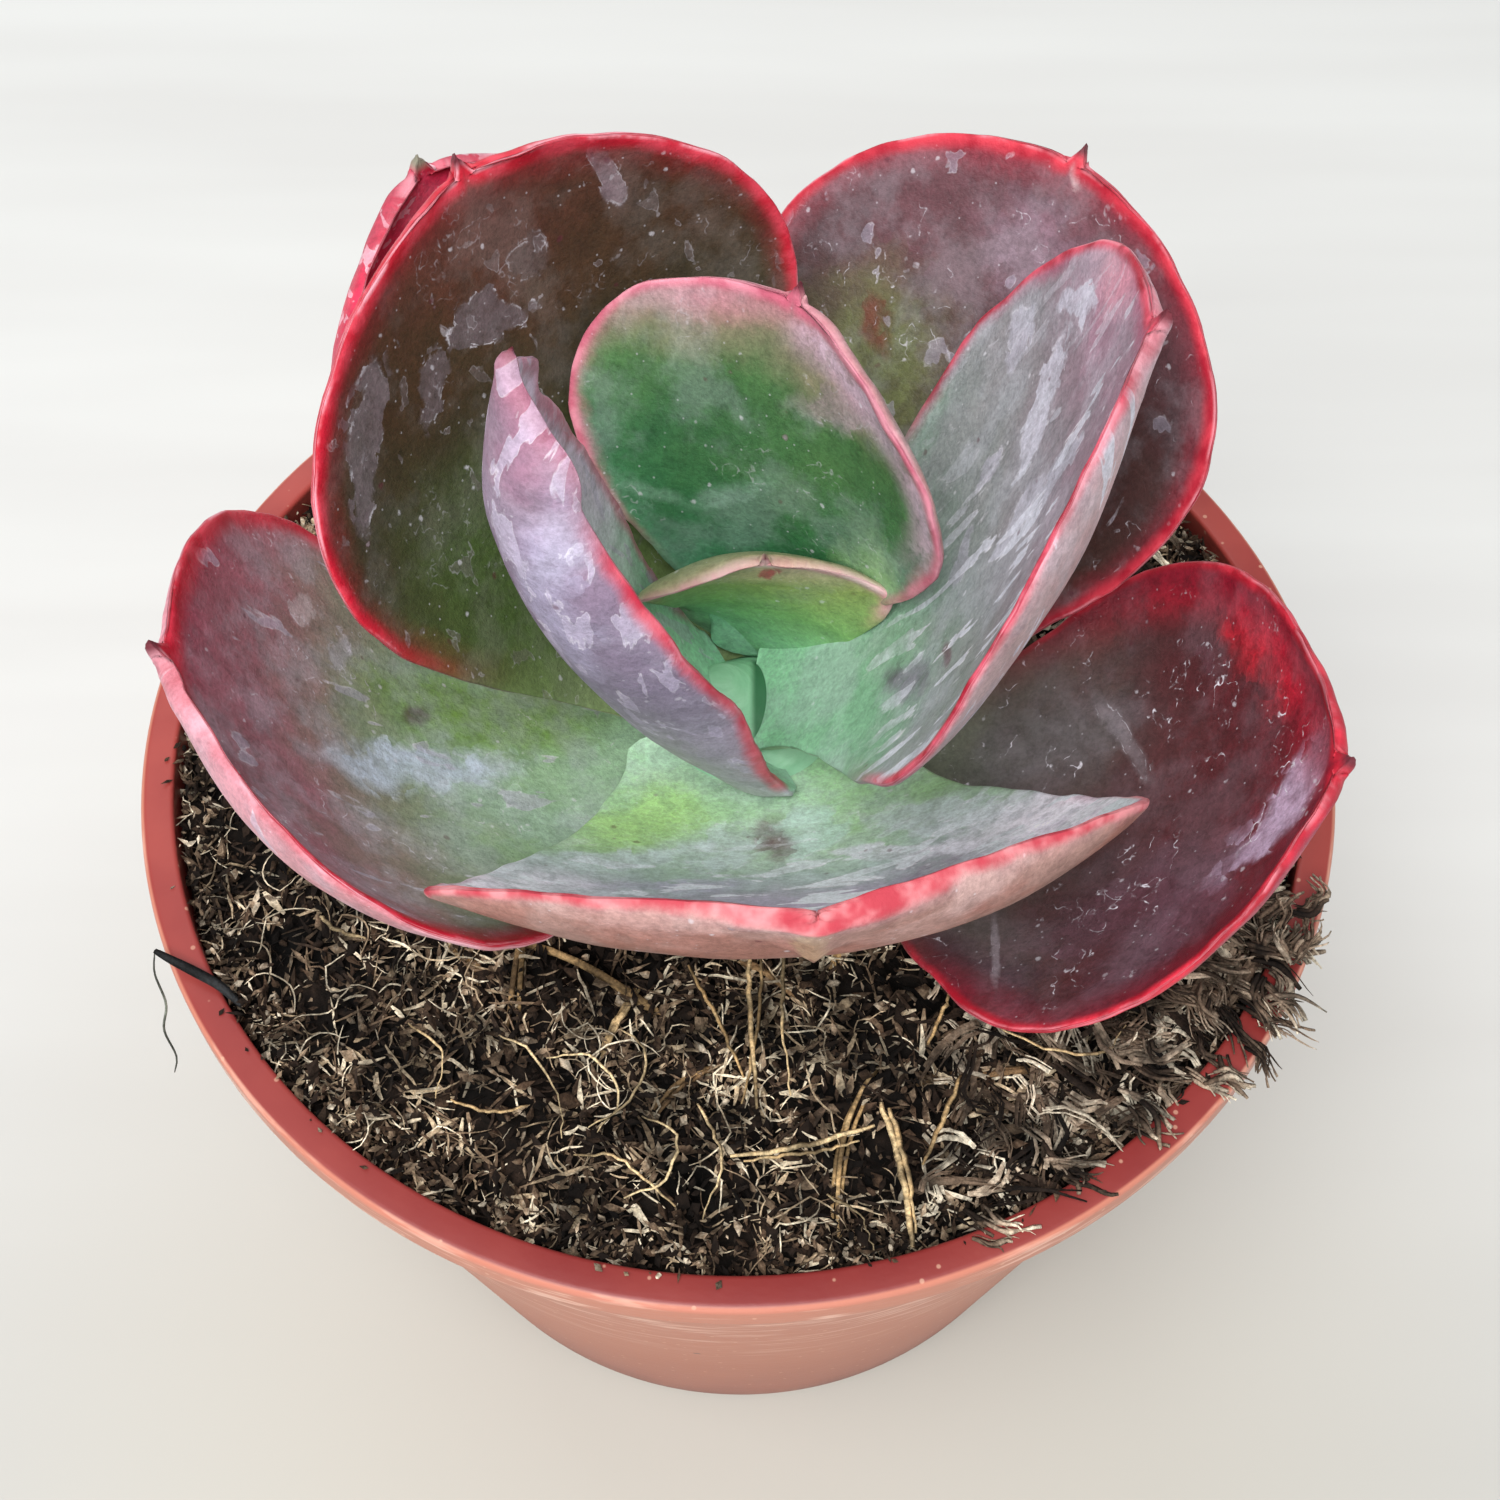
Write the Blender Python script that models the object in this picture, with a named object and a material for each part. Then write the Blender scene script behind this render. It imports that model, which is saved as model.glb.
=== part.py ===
"""A big red echeveria: one open rosette of ten thick leaves on a short stem, growing in
fibrous peat in a 12 cm moulded plastic pot.

Every leaf is built by one rule from its own dimensions. Its midrib starts at the stem, points
along a heading and bends upwards. The blade widens to a round end with a small hard point, is
cupped on each side of the midrib by its own amount, and is thick at the root and thin at the
margin. The origin is the middle of the pot's flat foot, with +Z up.
"""
import math
import random

import bmesh
import bpy
import numpy as np

MM = 0.001
GAP = 0.3                      # clear space between pieces that touch

# Pot, turned, in mm
POT_HEIGHT = 85.0
RIM_RADIUS = 60.0
RIM_WIDTH = 3.3                # flat ring on top of the lip
LIP_DEPTH = 4.0
WALL_TOP_RADIUS = 58.0         # outside, just under the lip
BASE_RADIUS = 43.5
WALL = 1.3
EDGE = 0.6                     # bevel on the lip and the foot
FOOT_WIDTH = 4.0
FOOT_HEIGHT = 1.0
FLOOR_TOP = 2.6
DRAIN_HOLES = 6
DRAIN_RADIUS = 4.0
DRAIN_RING = 27.0
POT_SIDES = 60

# Soil and stem, in mm
SOIL_LEVEL = POT_HEIGHT - 3.0
SOIL_RELIEF = 1.1
SOIL_MOUND = 1.0               # the rise round the stem
SOIL_SIDES = 48
SOIL_RINGS = 13
STEM_X, STEM_Y = 2.0, -6.0
STEM_RADIUS = 7.0
STEM_FOOT_Z = 62.0
STRAWS = 36
STRAW_SEED = 11
STRAW_BAND = (24.0, 46.0)       # distance of a straw's middle from the pot's axis
GOLDEN_TURN = math.pi * (3 - math.sqrt(5))
STRAW_LENGTH = (9.0, 22.0)
STRAW_RADIUS = (0.6, 0.9)

# Leaves, in mm and degrees, from the oldest to the youngest.
# root: distance from the stem's axis and height. lean: of the midrib at the root and the tip.
# bend: how early the midrib bends, below 1 near the root. size: length and greatest width.
# widest: where that width is, base: the root's share of it. cup and roll: left and right
# half of the blade, and twist at the root and the tip.
LEAVES = {
    "leaf_old_back": dict(
        heading=132, sweep=4, root=(8, 90.5), lean=(17, 86), bend=1.0, size=(60, 53),
        widest=0.63, base=0.15, cup=(52, 52), roll=(3, -2)),
    "leaf_right_front": dict(
        heading=-24, sweep=0, root=(8.5, 90.5), lean=(7, 68), bend=1.15, size=(54, 50),
        widest=0.57, base=0.31, cup=(34, 26), roll=(0, 8)),
    "leaf_left_front": dict(
        heading=202, sweep=-19, root=(8.5, 90.5), lean=(11, 69), bend=1.0, size=(56, 55),
        widest=0.60, base=0.35, cup=(43, 2), roll=(4, 6)),
    "leaf_back_right": dict(
        heading=52, sweep=0, root=(6.5, 94.5), lean=(24, 59), bend=0.85, size=(55, 53.5),
        widest=0.62, base=0.34, cup=(8, 20), roll=(-4, -7)),
    "leaf_back_left": dict(
        heading=143, sweep=-7, root=(5.5, 95), lean=(35, 77), bend=0.5, size=(57, 56),
        widest=0.62, base=0.25, cup=(18, 30), roll=(1, 2)),
    "leaf_front": dict(
        heading=-87, sweep=7, root=(2.5, 95), lean=(-6, 68), bend=0.5, size=(53, 57.5),
        widest=0.80, base=0.44, cup=(32, 16), roll=(3, -6)),
    "leaf_inner_right": dict(
        heading=-9, sweep=21, root=(0.5, 98.5), lean=(41, 73), bend=0.65, size=(58, 51.5),
        widest=0.58, base=0.17, cup=(12, 23), roll=(6, -23), root_thick=4.6),
    "leaf_inner_left": dict(
        heading=212, sweep=0, root=(3, 98.5), lean=(56, 98), bend=1.4, size=(61, 28),
        widest=0.44, base=0.71, cup=(83, 33), roll=(-11, -28), root_thick=4.6),
    "leaf_inner_back": dict(
        heading=86, sweep=-26, root=(6.5, 99.5), lean=(90, 73), bend=0.85, size=(39.5, 39),
        widest=0.66, base=0.11, cup=(14, 34), roll=(-3, -11), root_thick=4.6),
    "leaf_centre": dict(
        heading=83, sweep=7, root=(2.5, 104), lean=(90, 100), bend=0.3, size=(15.5, 23),
        widest=0.80, base=0.29, cup=(30, 21), roll=(-17, 3), root_thick=3.6, blade_thick=2.6),
}
ROOT_THICK = 5.2
BLADE_THICK = 3.2
MARGIN_THICK = 0.7
POINT_LENGTH = 2.2             # the small hard point on a full-size leaf
LEAF_ROWS = 21
LEAF_COLUMNS = 9

# Colour, roughness and metallic value of each finish
FINISHES = {
    "pot_plastic": ((0.50, 0.13, 0.08), 0.45),
    "peat": ((0.045, 0.028, 0.018), 0.95),
    "stem_green": ((0.30, 0.36, 0.17), 0.6),
    "leaf_red_green": ((0.33, 0.20, 0.18), 0.5),
}


def clear_scene():
    for thing in list(bpy.data.objects):
        bpy.data.objects.remove(thing, do_unlink=True)


def finish(name):
    """The material of that name, made once."""
    if name in bpy.data.materials:
        return bpy.data.materials[name]
    colour, roughness = FINISHES[name]
    material = bpy.data.materials.new(name)
    material.use_nodes = True
    shader = material.node_tree.nodes["Principled BSDF"]
    shader.inputs["Base Color"].default_value = (*colour, 1.0)
    shader.inputs["Roughness"].default_value = roughness
    shader.inputs["Metallic"].default_value = 0.0
    return material


def add_object(name, points, faces, material=None):
    """An object from points in mm and faces that already point outwards."""
    mesh = bpy.data.meshes.new(name)
    mesh.from_pydata([tuple(float(c) * MM for c in p) for p in points], [], faces)
    mesh.validate()
    made = bpy.data.objects.new(name, mesh)
    bpy.context.scene.collection.objects.link(made)
    if material:
        mesh.materials.append(finish(material))
        mesh.shade_smooth()
        mesh.set_sharp_from_angle(angle=math.radians(40))
    return made


def loft(rings):
    """Points and faces of a closed body through rings of equal length, listed from the top."""
    count = len(rings[0])
    points = [p for ring in rings for p in ring]
    faces = [tuple(range(count))]
    for upper in range(len(rings) - 1):
        for k in range(count):
            following = (k + 1) % count
            a, b = upper * count + k, upper * count + following
            faces.append((a, a + count, b + count, b))
    last = (len(rings) - 1) * count
    faces.append(tuple(last + k for k in reversed(range(count))))
    return points, faces


def circle(radius, height, sides, centre=(0.0, 0.0)):
    turn = 2 * math.pi / sides
    return [(centre[0] + radius * math.cos(k * turn), centre[1] + radius * math.sin(k * turn), height)
            for k in range(sides)]


def combine(body, tools, operation):
    """Cut the tools from a body, or join them to it, for good."""
    group = bpy.data.collections.new(body.name + "_tools")
    for tool in tools:
        group.objects.link(tool)
    step = body.modifiers.new(operation.lower(), "BOOLEAN")
    step.operation = operation
    step.operand_type = "COLLECTION"
    step.collection = group
    step.solver = "EXACT"
    shaped = bpy.data.meshes.new_from_object(body.evaluated_get(bpy.context.evaluated_depsgraph_get()))
    body.modifiers.remove(step)
    body.data = shaped
    for tool in tools:
        bpy.data.objects.remove(tool, do_unlink=True)
    bpy.data.collections.remove(group)


def keep_largest(body):
    """Weld what a cut left split and drop the loose scraps beside the largest body."""
    mesh = bmesh.new()
    mesh.from_mesh(body.data)
    bmesh.ops.remove_doubles(mesh, verts=mesh.verts, dist=0.02 * MM)
    bmesh.ops.triangulate(mesh, faces=mesh.faces)
    left = set(mesh.verts)
    groups = []
    while left:
        group = {left.pop()}
        edge = list(group)
        while edge:
            for link in edge.pop().link_edges:
                for vert in link.verts:
                    if vert in left:
                        left.discard(vert)
                        group.add(vert)
                        edge.append(vert)
        groups.append(group)
    largest = max(groups, key=len)
    bmesh.ops.delete(mesh, geom=[v for v in mesh.verts if v not in largest], context="VERTS")
    mesh.to_mesh(body.data)
    mesh.free()


def ease(value):
    """0 to 1 with soft ends."""
    value = np.clip(value, 0, 1)
    return value * value * (3 - 2 * value)


def point_length(leaf):
    return POINT_LENGTH * math.sqrt(min(1.0, leaf["size"][1] / 50.0))


def half_width(leaf, distance):
    """Half of the blade's width at distances along the midrib, the hard point included."""
    length, width = leaf["size"]
    widest, base = leaf["widest"], leaf["base"]
    share = distance / length
    rise = base + (1 - base) * np.sin(math.pi / 2 * np.clip(share / widest, 0, 1)) ** 1.5
    past = np.clip((share - widest) / (1 - widest), 0, 1)
    blade = width / 2 * np.where(share < widest, rise, np.sqrt(1 - past ** 2))
    to_end = np.maximum(length + point_length(leaf) - distance, 0)
    point = 0.3 * to_end ** 1.5 * ease((share - 0.8) / 0.12)
    return (blade ** 3 + point ** 3) ** (1 / 3)


def stations(leaf, rows):
    """Distances along the midrib, closer together where the outline turns."""
    length = leaf["size"][0]
    widest = leaf["widest"]
    lower = int(rows * 0.45)
    point = point_length(leaf) / length
    return length * np.concatenate([
        np.linspace(0, widest, lower, endpoint=False),
        widest + (1 - widest) * np.sin(np.linspace(0, math.pi / 2, rows - lower - 4)),
        1 + point * np.array([0.3, 0.55, 0.8, 1.0])])


def midrib(leaf, distance):
    """Places on the midrib with the directions along, to the left and to the inner face."""
    length = leaf["size"][0]
    fine = np.linspace(0, length + point_length(leaf), 241)
    share = np.minimum(fine / length, 1)
    lean = np.radians(leaf["lean"][0] + (leaf["lean"][1] - leaf["lean"][0]) * share ** leaf["bend"])
    heading = np.radians(leaf["heading"] + leaf["sweep"] * share)
    roll = np.radians(leaf["roll"][0] + (leaf["roll"][1] - leaf["roll"][0]) * share)[:, None]
    along = np.stack([np.cos(lean) * np.cos(heading), np.cos(lean) * np.sin(heading), np.sin(lean)], -1)
    left = np.stack([-np.sin(heading), np.cos(heading), 0 * heading], -1)
    inner = np.cross(along, left)
    left, inner = left * np.cos(roll) + inner * np.sin(roll), inner * np.cos(roll) - left * np.sin(roll)
    out, height = leaf["root"]
    first = math.radians(leaf["heading"])
    root = np.array([STEM_X + out * math.cos(first), STEM_Y + out * math.sin(first), height])
    steps = (along[:-1] + along[1:]) / 2 * (fine[1] - fine[0])
    place = np.vstack([root, root + np.cumsum(steps, 0)])
    return [np.stack([np.interp(distance, fine, each[:, k]) for k in range(3)], -1)
            for each in (place, along, left, inner)]


def leaf_faces(leaf, rows, columns, grow=0.0):
    """Grids of points on a leaf's inner and outer face, each moved out by grow."""
    distance = stations(leaf, rows)
    share = distance / leaf["size"][0]
    place, along, left, inner = midrib(leaf, distance)
    place[0] -= along[0] * grow
    width = half_width(leaf, distance) + grow
    side = np.sin(np.linspace(-math.pi / 2, math.pi / 2, columns))
    opening = np.minimum(1.0, 0.35 + share / 0.35 * 0.65)
    cup_left, cup_right = np.radians(leaf["cup"])
    arc = np.where(side > 0, cup_left * opening[:, None], cup_right * opening[:, None]) + 1e-6
    turn = arc * np.abs(side)
    across = width[:, None] * np.sin(turn) / arc * np.sign(side)
    raised = width[:, None] * (1 - np.cos(turn)) / arc
    face = place[:, None] + left[:, None] * across[..., None] + inner[:, None] * raised[..., None]
    normal = np.cross(np.gradient(face, axis=0), np.gradient(face, axis=1))
    normal /= np.maximum(np.linalg.norm(normal, axis=-1, keepdims=True), 1e-9)
    normal[-1] = normal[-2].mean(0)
    normal *= np.sign((normal * inner[:, None]).sum(-1).mean())
    blade = leaf.get("blade_thick", BLADE_THICK)
    middle = blade + (leaf.get("root_thick", ROOT_THICK) - blade) * np.exp(-share / 0.18)
    middle = middle * (1 - 0.55 * ease((share - 0.75) / 0.25))
    lens = np.maximum(1 - np.abs(side) ** 2.2, 0)
    thick = MARGIN_THICK + (middle[:, None] - MARGIN_THICK) * lens
    return face + normal * grow, face - normal * (thick + grow)[..., None]


def leaf_mesh(leaf, rows, columns, grow=0.0):
    """Points and triangles of a closed leaf, both faces split alike, ending in one point."""
    upper, lower = leaf_faces(leaf, rows, columns, grow)
    tip = (upper[-1].mean(0) + lower[-1].mean(0)) / 2
    rows = rows - 1
    points = np.vstack([upper[:-1].reshape(-1, 3), lower[:-1].reshape(-1, 3), tip[None]])
    under = rows * columns
    end = 2 * under
    faces = []
    for i in range(rows - 1):
        for j in range(columns - 1):
            a = i * columns + j
            b, c, d = a + columns, a + columns + 1, a + 1
            faces += [(a, b, c), (a, c, d)]
            faces += [(under + a, under + c, under + b), (under + a, under + d, under + c)]
        right, left = i * columns, i * columns + columns - 1
        for a, b, flip in ((right, right + columns, False), (left, left + columns, True)):
            for face in ((a, under + a, under + b), (a, under + b, b)):
                faces.append(face[::-1] if flip else face)
    for j in range(columns - 1):
        faces += [(j, j + 1, under + j + 1), (j, under + j + 1, under + j)]
        a = (rows - 1) * columns + j
        faces += [(a, end, a + 1), (under + a, under + a + 1, end)]
    right = (rows - 1) * columns
    left = right + columns - 1
    faces += [(right, under + right, end), (left, end, under + left)]
    return points, faces


def inner_radius(height):
    """The pot's inner wall."""
    slope = (WALL_TOP_RADIUS - BASE_RADIUS) / (POT_HEIGHT - LIP_DEPTH)
    return min(BASE_RADIUS + slope * height - WALL, RIM_RADIUS - RIM_WIDTH)


def make_pot():
    """The pot is one moulding: a tapered wall, a lip with a flat ring, a foot and a floor."""
    lip_under = POT_HEIGHT - LIP_DEPTH
    profile = [
        (BASE_RADIUS - FOOT_WIDTH, FOOT_HEIGHT), (BASE_RADIUS - FOOT_WIDTH, 0),
        (BASE_RADIUS - EDGE, 0), (BASE_RADIUS, EDGE),
        (WALL_TOP_RADIUS, lip_under), (RIM_RADIUS, lip_under + EDGE / 2),
        (RIM_RADIUS, POT_HEIGHT - EDGE), (RIM_RADIUS - EDGE, POT_HEIGHT),
        (RIM_RADIUS - RIM_WIDTH + EDGE / 2, POT_HEIGHT), (RIM_RADIUS - RIM_WIDTH, POT_HEIGHT - EDGE / 2),
        (inner_radius(lip_under), lip_under), (inner_radius(FLOOR_TOP + 1.5), FLOOR_TOP + 1.5),
        (inner_radius(FLOOR_TOP) - 1.5, FLOOR_TOP)]
    rings = [circle(r, z, POT_SIDES) for r, z in profile]
    points, faces = loft(rings)
    faces = [face[::-1] for face in faces]
    pot = add_object("pot", points, faces, "pot_plastic")
    drills = []
    for k in range(DRAIN_HOLES + 1):
        turn = 2 * math.pi * (k + 0.5) / DRAIN_HOLES
        ring = DRAIN_RING if k < DRAIN_HOLES else 0.0
        centre = (ring * math.cos(turn), ring * math.sin(turn))
        drill = loft([circle(DRAIN_RADIUS, z, 12, centre) for z in (FLOOR_TOP + 1, FOOT_HEIGHT - 1)])
        drills.append(add_object(f"drill_{k}", *drill))
    combine(pot, drills, "DIFFERENCE")
    return pot


def soil_height(x, y):
    """Crumbly top of the peat: waves of three sizes, higher round the stem."""
    from_stem = math.hypot(x - STEM_X, y - STEM_Y)
    mound = SOIL_MOUND * math.exp(-(from_stem / 18.0) ** 2)
    broad = 0.5 * math.sin(0.13 * x + 1.7) * math.cos(0.11 * y - 0.6)
    lumps = 0.3 * math.sin(0.41 * x + 0.9 * math.sin(0.23 * y)) * math.cos(0.37 * y + 0.4)
    crumbs = 0.35 * math.sin(1.13 * x + 2.1 * y) * math.cos(1.31 * y - 0.7 * x + 2.0)
    return SOIL_LEVEL + mound + SOIL_RELIEF * (broad + lumps + crumbs)


def straw(number, draw):
    """One coarse peat fibre: a three-sided bent rod with both ends sunk in the soil."""
    turn = number * GOLDEN_TURN
    out = draw.uniform(*STRAW_BAND)
    x, y = out * math.cos(turn), out * math.sin(turn)
    length = draw.uniform(*STRAW_LENGTH)
    radius = draw.uniform(*STRAW_RADIUS)
    heading = draw.uniform(0, math.pi)
    curl = draw.uniform(-0.5, 0.5)
    rings = []
    for k in range(5):
        share = k / 4 - 0.5
        turn = heading + curl * share
        cx = x + length * share * math.cos(turn)
        cy = y + length * share * math.sin(turn)
        sunk = 3.0 * radius * (4 * share * share) - 0.6 * radius
        cz = soil_height(cx, cy) - sunk
        across = (-math.sin(turn), math.cos(turn))
        ring = []
        for corner in range(3):
            angle = math.pi / 2 + 2 * math.pi * corner / 3
            out = radius * math.cos(angle)
            ring.append((cx + across[0] * out, cy + across[1] * out, cz + radius * math.sin(angle)))
        rings.append(ring)
    points, faces = loft(rings)
    made = add_object(f"straw_{number}", points, faces)
    mesh = bmesh.new()
    mesh.from_mesh(made.data)
    bmesh.ops.recalc_face_normals(mesh, faces=mesh.faces)
    mesh.to_mesh(made.data)
    mesh.free()
    return made


def make_soil():
    """The root ball fills the pot, with a plain hole for the stem and straws on top."""
    outer_top = inner_radius(SOIL_LEVEL) - GAP
    rings = []
    for k in range(SOIL_RINGS):
        share = k / (SOIL_RINGS - 1)
        centre = (STEM_X * (1 - share), STEM_Y * (1 - share))
        radius = (STEM_RADIUS + GAP) * (1 - share) + outer_top * share
        ring = circle(radius, 0, SOIL_SIDES, centre)
        if k == SOIL_RINGS - 1:
            rings.append([(x, y, SOIL_LEVEL - 0.5) for x, y, _ in ring])
        else:
            rings.append([(x, y, soil_height(x, y)) for x, y, _ in ring])
    hole = circle(STEM_RADIUS + GAP, STEM_FOOT_Z - GAP, SOIL_SIDES, (STEM_X, STEM_Y))
    floor = FLOOR_TOP + GAP
    corner = circle(inner_radius(floor + 1.5) - GAP, floor + 1.5, SOIL_SIDES)
    under = circle(inner_radius(floor) - GAP - 1.5, floor, SOIL_SIDES)
    points, faces = loft([hole] + rings + [corner, under])
    soil = add_object("soil", points, faces, "peat")
    draw = random.Random(STRAW_SEED)
    combine(soil, [straw(k, draw) for k in range(STRAWS)], "UNION")
    keep_largest(soil)
    return soil


def make_stem():
    """The short stem: a rod in the soil that swells where the leaves sit, cut to their roots."""
    axis = (STEM_X, STEM_Y)
    levels = [
        (103.7, 2.0, (STEM_X, -2.5)), (99.6, 3.4, (STEM_X, -3.5)), (98.4, 5.5, (STEM_X, -4.5)),
        (95.0, 8.0, axis), (88.0, 8.3, axis), (84.5, STEM_RADIUS, axis), (STEM_FOOT_Z, STEM_RADIUS, axis)]
    points, faces = loft([circle(r, z, 24, centre) for z, r, centre in levels])
    stem = add_object("stem", points, faces, "stem_green")
    cutters = [add_object(name + "_seat", *leaf_mesh(leaf, LEAF_ROWS, LEAF_COLUMNS, GAP))
               for name, leaf in LEAVES.items()]
    combine(stem, cutters, "DIFFERENCE")
    keep_largest(stem)
    return stem


clear_scene()
make_pot()
make_soil()
make_stem()
for leaf_name, leaf_size in LEAVES.items():
    add_object(leaf_name, *leaf_mesh(leaf_size, LEAF_ROWS, LEAF_COLUMNS), "leaf_red_green")
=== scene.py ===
import math
import random

import bpy
import numpy as np
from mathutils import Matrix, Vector


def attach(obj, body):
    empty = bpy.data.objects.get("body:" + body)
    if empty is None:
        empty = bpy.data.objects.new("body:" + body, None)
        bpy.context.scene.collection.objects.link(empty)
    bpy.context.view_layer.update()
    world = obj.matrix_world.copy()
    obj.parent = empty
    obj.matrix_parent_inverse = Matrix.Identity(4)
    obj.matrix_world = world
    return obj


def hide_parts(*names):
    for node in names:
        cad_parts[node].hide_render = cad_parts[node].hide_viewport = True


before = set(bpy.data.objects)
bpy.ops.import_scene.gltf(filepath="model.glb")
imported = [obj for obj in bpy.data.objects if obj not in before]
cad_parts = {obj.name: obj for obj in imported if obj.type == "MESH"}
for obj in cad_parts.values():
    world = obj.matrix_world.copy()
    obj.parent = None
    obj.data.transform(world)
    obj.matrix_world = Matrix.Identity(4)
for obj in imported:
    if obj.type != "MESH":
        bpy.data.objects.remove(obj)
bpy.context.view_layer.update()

# The view is that of a phone held over the front of the pot, looking down at 57 degrees.
# The pot stands on a pale washed table in soft daylight that comes from all sides and a
# little more from above the back.
MM = 0.001
CAMERA_PLACE = (1.17, -116.1, 261.7)
CAMERA_TILT = 32.7
CAMERA_LENS = 50.04
CAMERA_SENSOR = 36.0
TABLE_HALF = 1500
DAYLIGHT = 0.57
# Each lamp has a name, watts, a size, a place and the point it shines at, in metres.
LAMPS = [
    ("window_front", 9.0, 0.55, (-0.15, -0.42, 0.85), (0, 0, 0.09)),
    ("window_behind", 2.6, 0.8, (-0.3, 0.75, 0.85), (0, 0, 0.09)),
    ("floor_glow", 0.9, 0.35, (0.0, -0.62, 0.06), (0, 0, 0.04))]


def tint(code):
    """A colour as written in a paint chart, such as B5473F, in linear light."""
    shares = [int(code[k:k + 2], 16) / 255 for k in (0, 2, 4)]
    return tuple(s / 12.92 if s < 0.04045 else ((s + 0.055) / 1.055) ** 2.4 for s in shares)


class Value:
    """What a node gives out. Each sign or method adds the node that works on it."""

    def __init__(self, wiring, socket):
        self.wiring = wiring
        self.socket = socket

    def __add__(self, other):
        return self.wiring.math("ADD", self, other)

    def __sub__(self, other):
        return self.wiring.math("SUBTRACT", self, other)

    def __mul__(self, other):
        return self.wiring.math("MULTIPLY", self, other)

    def __truediv__(self, other):
        return self.wiring.math("DIVIDE", self, other)

    def __rsub__(self, other):
        return self.wiring.math("SUBTRACT", other, self)

    def __rtruediv__(self, other):
        return self.wiring.math("DIVIDE", other, self)

    def __abs__(self):
        return self.wiring.math("ABSOLUTE", self)

    __radd__ = __add__
    __rmul__ = __mul__

    def output(self, name):
        """Another output of the same node."""
        return Value(self.wiring, self.socket.node.outputs[name])

    def parts(self):
        first = self.wiring.add("ShaderNodeSeparateXYZ", {0: self})
        return [Value(self.wiring, socket) for socket in first.socket.node.outputs]

    def length(self):
        return self.wiring.add("ShaderNodeVectorMath", {0: self}, "Value", operation="LENGTH")

    def step(self, low, high, start=0.0, end=1.0):
        """A soft step from start, where this is low, to end, where it is high."""
        inputs = {"Value": self, "From Min": low, "From Max": high, "To Min": start, "To Max": end}
        return self.wiring.add("ShaderNodeMapRange", inputs, interpolation_type="SMOOTHSTEP")

    def noise(self, scale, detail=2.0, rough=0.5, warp=0.0):
        inputs = {"Vector": self, "Scale": scale, "Detail": detail, "Roughness": rough, "Distortion": warp}
        return self.wiring.add("ShaderNodeTexNoise", inputs)

    def cells(self, scale):
        """The distance to the nearest of many scattered points."""
        return self.wiring.add("ShaderNodeTexVoronoi", {"Vector": self, "Scale": scale})

    def shades(self, stops):
        """A colour for each value, through stops of a value and a paint code, in rising order."""
        shade = self.wiring.add("ShaderNodeValToRGB", {0: self})
        ramp = shade.socket.node.color_ramp
        while len(ramp.elements) < len(stops):
            ramp.elements.new(1.0)
        for element, (place, _) in zip(ramp.elements, stops):
            element.position = place
        for element, (_, code) in zip(ramp.elements, stops):
            element.color = (*tint(code), 1.0)
        return shade

    def painted(self, cover, paint, blend="MIX"):
        """This colour with a paint code or another colour over it."""
        over = tint(paint) if isinstance(paint, str) else paint
        return self.wiring.mix(cover, self, over, blend)


class Wiring:
    """Adds nodes to a tree and joins them. An input takes a number, a tuple or a Value."""

    def __init__(self, tree):
        self.tree = tree

    def feed(self, socket, value):
        if isinstance(value, Value):
            self.tree.links.new(value.socket, socket)
        elif socket.type == "RGBA" and len(value) == 3:
            socket.default_value = (*value, 1.0)
        else:
            socket.default_value = value

    def add(self, kind, inputs=None, output=0, **settings):
        """Adds a node and hands back one of its outputs."""
        node = self.tree.nodes.new(kind)
        for key, value in settings.items():
            setattr(node, key, value)
        for key, value in (inputs or {}).items():
            self.feed(node.inputs[key], value)
        return Value(self, node.outputs[output]) if node.outputs else None

    def math(self, operation, *values):
        """A Math node, or a Vector Math node where a value has three parts."""
        kinds = [v.socket.type if isinstance(v, Value) else type(v).__name__ for v in values]
        if not {"VECTOR", "RGBA", "tuple"}.intersection(kinds):
            return self.add("ShaderNodeMath", dict(enumerate(values)), operation=operation)
        values = [(v, v, v) if isinstance(v, (int, float)) else v for v in values]
        return self.add("ShaderNodeVectorMath", dict(enumerate(values)), operation=operation)

    def join(self, x, y, z=0.0):
        return self.add("ShaderNodeCombineXYZ", {0: x, 1: y, 2: z})

    def mix(self, cover, below, above, blend="MIX"):
        inputs = {0: cover, 6: below, 7: above}
        return self.add("ShaderNodeMix", inputs, 2, data_type="RGBA", blend_type=blend)


class Finish(Wiring):
    """One material. Its patterns are laid out in mm."""

    def __init__(self, name):
        self.material = bpy.data.materials.new(name)
        self.material.use_nodes = True
        super().__init__(self.material.node_tree)
        self.shader = self.tree.nodes["Principled BSDF"]

    def place(self):
        """Object coordinates in mm."""
        return self.add("ShaderNodeTexCoord", output="Object") * 1000

    def attribute(self, name, output="Fac"):
        return self.add("ShaderNodeAttribute", output=output, attribute_name=name)

    def relief(self, height, depth):
        """Bump from a height of 0 to 1 that stands for depth in mm."""
        bump = self.add("ShaderNodeBump", {"Height": height, "Distance": depth * MM, "Strength": 1.0})
        self.feed(self.shader.inputs["Normal"], bump)

    def set(self, **values):
        for key, value in values.items():
            self.feed(self.shader.inputs[key.replace("_", " ")], value)
        return self.material


def solid(name, points, faces, material=None, smooth=True):
    """A mesh object from points in mm."""
    mesh = bpy.data.meshes.new(name)
    mesh.from_pydata((np.asarray(points) * MM).tolist(), [], faces)
    made = bpy.data.objects.new(name, mesh)
    bpy.context.scene.collection.objects.link(made)
    if material:
        mesh.materials.append(material)
    if smooth:
        mesh.shade_smooth()
    return made


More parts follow.
